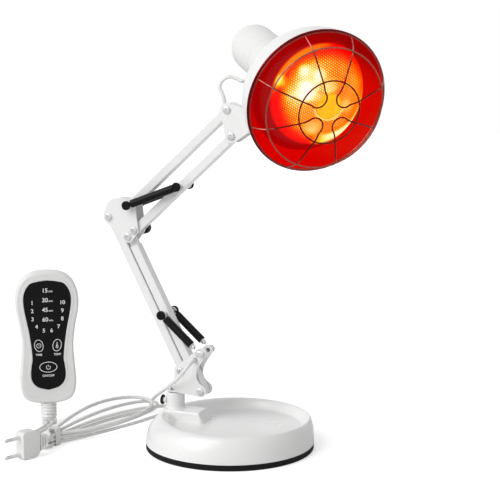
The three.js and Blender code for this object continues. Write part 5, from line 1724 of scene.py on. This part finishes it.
def key_sign(name, place):
    """The white sign on a key: a clock, a thermometer, or a power mark."""
    x, y = place
    top = KEY_TOP + INK_RISE
    if name == "time":
        return [
            stroke(ring_points((2.6, 2.6), place), 0.6, top, True),
            stroke([(x, y + 1.6), (x, y), (x + 1.3, y - 0.4)], 0.5, top),
        ]
    if name == "temp":
        return [
            stroke(ring_points((1.3, 1.3), (x, y - 2.1)), 0.55, top, True),
            stroke([(x - 0.7, y - 1), (x - 0.7, y + 3.2), (x + 0.7, y + 3.2), (x + 0.7, y - 1)], 0.45, top),
            stroke([(x, y - 2), (x, y + 1)], 0.5, top),
        ]
    return [
        stroke(ring_points((2.4, 2.4), (x, y - 0.2), start=125, end=415, steps=30), 0.65, top),
        stroke([(x, y + 2.7), (x, y + 0.3)], 0.65, top),
    ]


def keys():
    for name, body, size, place, lean in KEYS:
        key = key_block(size, place, lean, 0, KEY_BOTTOM, KEY_TOP)
        soften(key, 0.3, 3, 60, level_edges(KEY_TOP))
        finished(f"{name}_cap", body, "black_panel", moved(key, HANDSET), [f"{name}_button"])
        ring = stroke(ring_points(size, place, lean, -0.75), 0.7, KEY_TOP + INK_RISE, True)
        signs = together(ring, *key_sign(name, place))
        finished(f"{name}_sign", body, "print", moved(signs, HANDSET))


def boot():
    """The ribbed boot under the case, and the foot that the two leads enter."""
    top, foot = HANDSET_BOTTOM - GAP, BOOT_FOOT
    profile = [(0, foot - 1), (BOOT_RADIUS, foot - 1)]
    pitch = (top - foot) / (BOOT_RIBS + 0.6)
    for rib in range(BOOT_RIBS):
        low = foot + rib * pitch
        middle = (BOOT_RADIUS + 0.1, low + pitch * 0.5)
        profile += [(BOOT_RADIUS, low + pitch * 0.12), *arc(middle, pitch * 0.36, -80, 80, 6)]
    ribbed_top = foot + pitch * BOOT_RIBS
    profile += [(BOOT_RADIUS, ribbed_top), (BOOT_COLLAR, ribbed_top + pitch * 0.2)]
    profile += [(BOOT_COLLAR, top), (0, top)]
    ribs = moved(turned(profile, 56), Matrix.Rotation(-math.pi / 2, 4, "X"))
    foot_block = block((-9, 0, -7.5), (9, foot, 7.5))
    soften(foot_block, 1.6, 4)
    holes = [
        rod((across, LEAD_HEIGHT, 4), (across, LEAD_HEIGHT, 9), CORD_RADIUS + 0.25, 24)
        for across in (-LEAD_SPREAD, LEAD_SPREAD)
    ]
    made = moved(cut(union(ribs, foot_block), *holes), HANDSET)
    finished("handset_strain_relief", "base", "white_plastic", made, ["handset_boot"])


handset_shells()
handset_panel()
handset_bezel()
handset_print()
keys()
boot()


# Plug: X points along its pins

PLUG_LENGTH, PLUG_THICK = 35, 14
GROOVES, GROOVE_FLOOR, GROOVE_REACH, GROOVE_WIDTH = (4, 7.4, 10.8), 5.6, 12, 1.2
CONTACT_SPREAD, CONTACT_RADIUS, CONTACT_LENGTH, COVER_RADIUS = 9.5, 2, 18.2, 2.2
TIE_HALF, TIE_WALL, TIE_PLAY = 3.5, 0.8, 0.35
TIE_LINES, LINE_HALF, LINE_FLOOR = (-1.8, 0, 1.8), 0.22, 0.55
PLUG_SHARES = [(0, 0.27), (0.14, 0.3), (0.26, 0.5), (0.42, 0.86), (0.56, 1), (0.9, 1), (1, 0.86)]


def plug():
    """A flat two-pin plug on its edge, its grip grooved, its pins sleeved halfway."""
    right = [(PLUG_LENGTH * along, PLUG_HALF * out) for along, out in PLUG_SHARES]
    edge = [(point.x, min(point.y, PLUG_HALF)) for point in even_line(right, 6)]
    outline = [*[(x, -y) for x, y in edge], *reversed(edge)]
    shell = block_of(outline, -PLUG_THICK / 2, PLUG_THICK / 2)
    moved(shell, Matrix.Rotation(math.pi / 2, 4, "X"))
    soften(shell, 1.8, 5, 60)
    grooves = []
    for place in GROOVES:
        end = place + GROOVE_WIDTH
        profile = [(GROOVE_FLOOR, place), (GROOVE_REACH, place), (GROOVE_REACH, end), (GROOVE_FLOOR, end)]
        groove = turned(profile, 40, closed=True)
        grooves.append(moved(groove, Matrix.Rotation(math.pi / 2, 4, "Y")))
    shell = moved(cut(shell, *grooves), PLUG)
    finished("plug_shell", "base", "white_plastic", shell, ["plug_body"])
    tip = CONTACT_LENGTH + 1.1
    contact = [
        (0, 0.6), (CONTACT_RADIUS - 0.1, 0.6), (CONTACT_RADIUS, 1), (CONTACT_RADIUS, CONTACT_LENGTH),
        *arc((CONTACT_RADIUS - 1.1, CONTACT_LENGTH), 1.1, 0, 90, 5), (0, tip),
    ]
    fit = CONTACT_RADIUS + 0.05
    cover = [(fit, 0), (COVER_RADIUS, 0), (COVER_RADIUS, 10.4), (fit, 10.8)]
    contacts, sleeves = [], []
    for side in (-1, 1):
        place = Matrix.Translation((PLUG_LENGTH, 0, side * CONTACT_SPREAD))
        laid_over = place @ Matrix.Rotation(math.pi / 2, 4, "Y")
        contacts.append(moved(turned(contact, 32), laid_over))
        sleeves.append(moved(turned(cover, 32, closed=True), laid_over))
    contacts, sleeves = moved(together(*contacts), PLUG), moved(together(*sleeves), PLUG)
    finished("plug_contacts", "base", "steel", contacts, ["plug_pin_top", "plug_pin_bottom"])
    finished("plug_sleeves", "base", "white_plastic", sleeves)


def lead_tie():
    """The band round the hank, with fine lines along it."""
    side = HANK_SLOT + CORD_RADIUS + TIE_PLAY
    top = hank_level(3) + CORD_RADIUS + TIE_PLAY
    strap = block((-TIE_HALF, -side - TIE_WALL, 0), (TIE_HALF, side + TIE_WALL, top + TIE_WALL))
    soften(strap, 1.4, 5, 60, lambda edge: spans(edge, 0))
    inner = block((-12, -side, TIE_WALL), (12, side, top))
    soften(inner, 0.9, 5, 60, lambda edge: spans(edge, 0))
    lines = []
    for x in TIE_LINES:
        low, high = x - LINE_HALF, x + LINE_HALF
        lines.append(block((low, -side - 2, -1), (high, -side - LINE_FLOOR, top + 2)))
        lines.append(block((low, -side - 2, top + LINE_FLOOR), (high, side + 2, top + 2)))
        lines.append(block((low, side + LINE_FLOOR, -1), (high, side + 2, top + 2)))
    made = moved(cut(strap, inner, *lines), HANK)
    finished("lead_tie", "base", "white_plastic", made, ["cord_tie"])


plug()
lead_tie()


# Model nodes that stay as they are

for node, look in (
    ("base_cover", "steel"), ("base_weight", "steel"), ("handset_board", "board"), ("lampholder", "ceramic"),
    ("bulb_cap", "brass"), ("bulb_filament", "filament"),
):
    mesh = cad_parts[node].data
    mesh.materials.clear()
    mesh.materials.append(LOOKS[look])


# Floor, light and background. The world is white to the camera, to glass and to gloss, and as dim as
# WORLD_LEVEL to the rest. The floor's own light lifts its tone, for the camera alone.

WORLD_LEVEL = 0.42
FLOOR_LIFT = 0.46
FLOOR_HALF, FLOOR_DROP = 6, 0.0002
# Each lamp's name, strength, angle across the sky in degrees, and the way its light goes
LAMPS = [("key", 1.9, 50, (0.4, 0.716, -0.57))]


def add_floor():
    bm = bmesh.new()
    bmesh.ops.create_grid(bm, x_segments=1, y_segments=1, size=FLOOR_HALF)
    mesh = bpy.data.meshes.new("floor")
    bm.to_mesh(mesh)
    bm.free()
    floor = bpy.data.objects.new("floor", mesh)
    floor.location.z = -FLOOR_DROP
    finish = Finish("floor_paper", Roughness=0.9, Specular_IOR_Level=0.1)
    seen = finish.node("LightPath", output="Is Camera Ray")
    finish.set(
        Base_Color=finish.blend(finish.noise(3), (0.955, 0.955, 0.955), (0.945, 0.945, 0.945)),
        Emission_Color=finish.blend(seen, (0.0, 0.0, 0.0), (FLOOR_LIFT, FLOOR_LIFT, FLOOR_LIFT)),
        Emission_Strength=1.0,
    )
    mesh.materials.append(finish.material)
    bpy.context.scene.collection.objects.link(floor)


def add_light():
    world = bpy.data.worlds.new("studio")
    bpy.context.scene.world = world
    world.use_nodes = True
    tree = world.node_tree
    background = tree.nodes["Background"]
    path = tree.nodes.new("ShaderNodeLightPath")
    seen = path.outputs["Is Camera Ray"]
    for ray in ("Is Transmission Ray", "Is Glossy Ray"):
        either = tree.nodes.new("ShaderNodeMath")
        either.operation = "MAXIMUM"
        tree.links.new(seen, either.inputs[0])
        tree.links.new(path.outputs[ray], either.inputs[1])
        seen = either.outputs[0]
    level_node = tree.nodes.new("ShaderNodeMapRange")
    level_node.inputs["To Min"].default_value = WORLD_LEVEL
    level_node.inputs["To Max"].default_value = 1.0
    tree.links.new(seen, level_node.inputs["Value"])
    tree.links.new(level_node.outputs[0], background.inputs["Strength"])
    background.inputs["Color"].default_value = (1, 1, 1, 1)
    for name, strength, spread, toward in LAMPS:
        data = bpy.data.lights.new(name, "SUN")
        data.energy = strength
        data.angle = math.radians(spread)
        lamp = bpy.data.objects.new(name, data)
        lamp.rotation_mode = "QUATERNION"
        lamp.rotation_quaternion = Vector(toward).to_track_quat("-Z", "Y")
        bpy.context.scene.collection.objects.link(lamp)


add_floor()
add_light()
bpy.context.scene.view_settings.view_transform = "Standard"
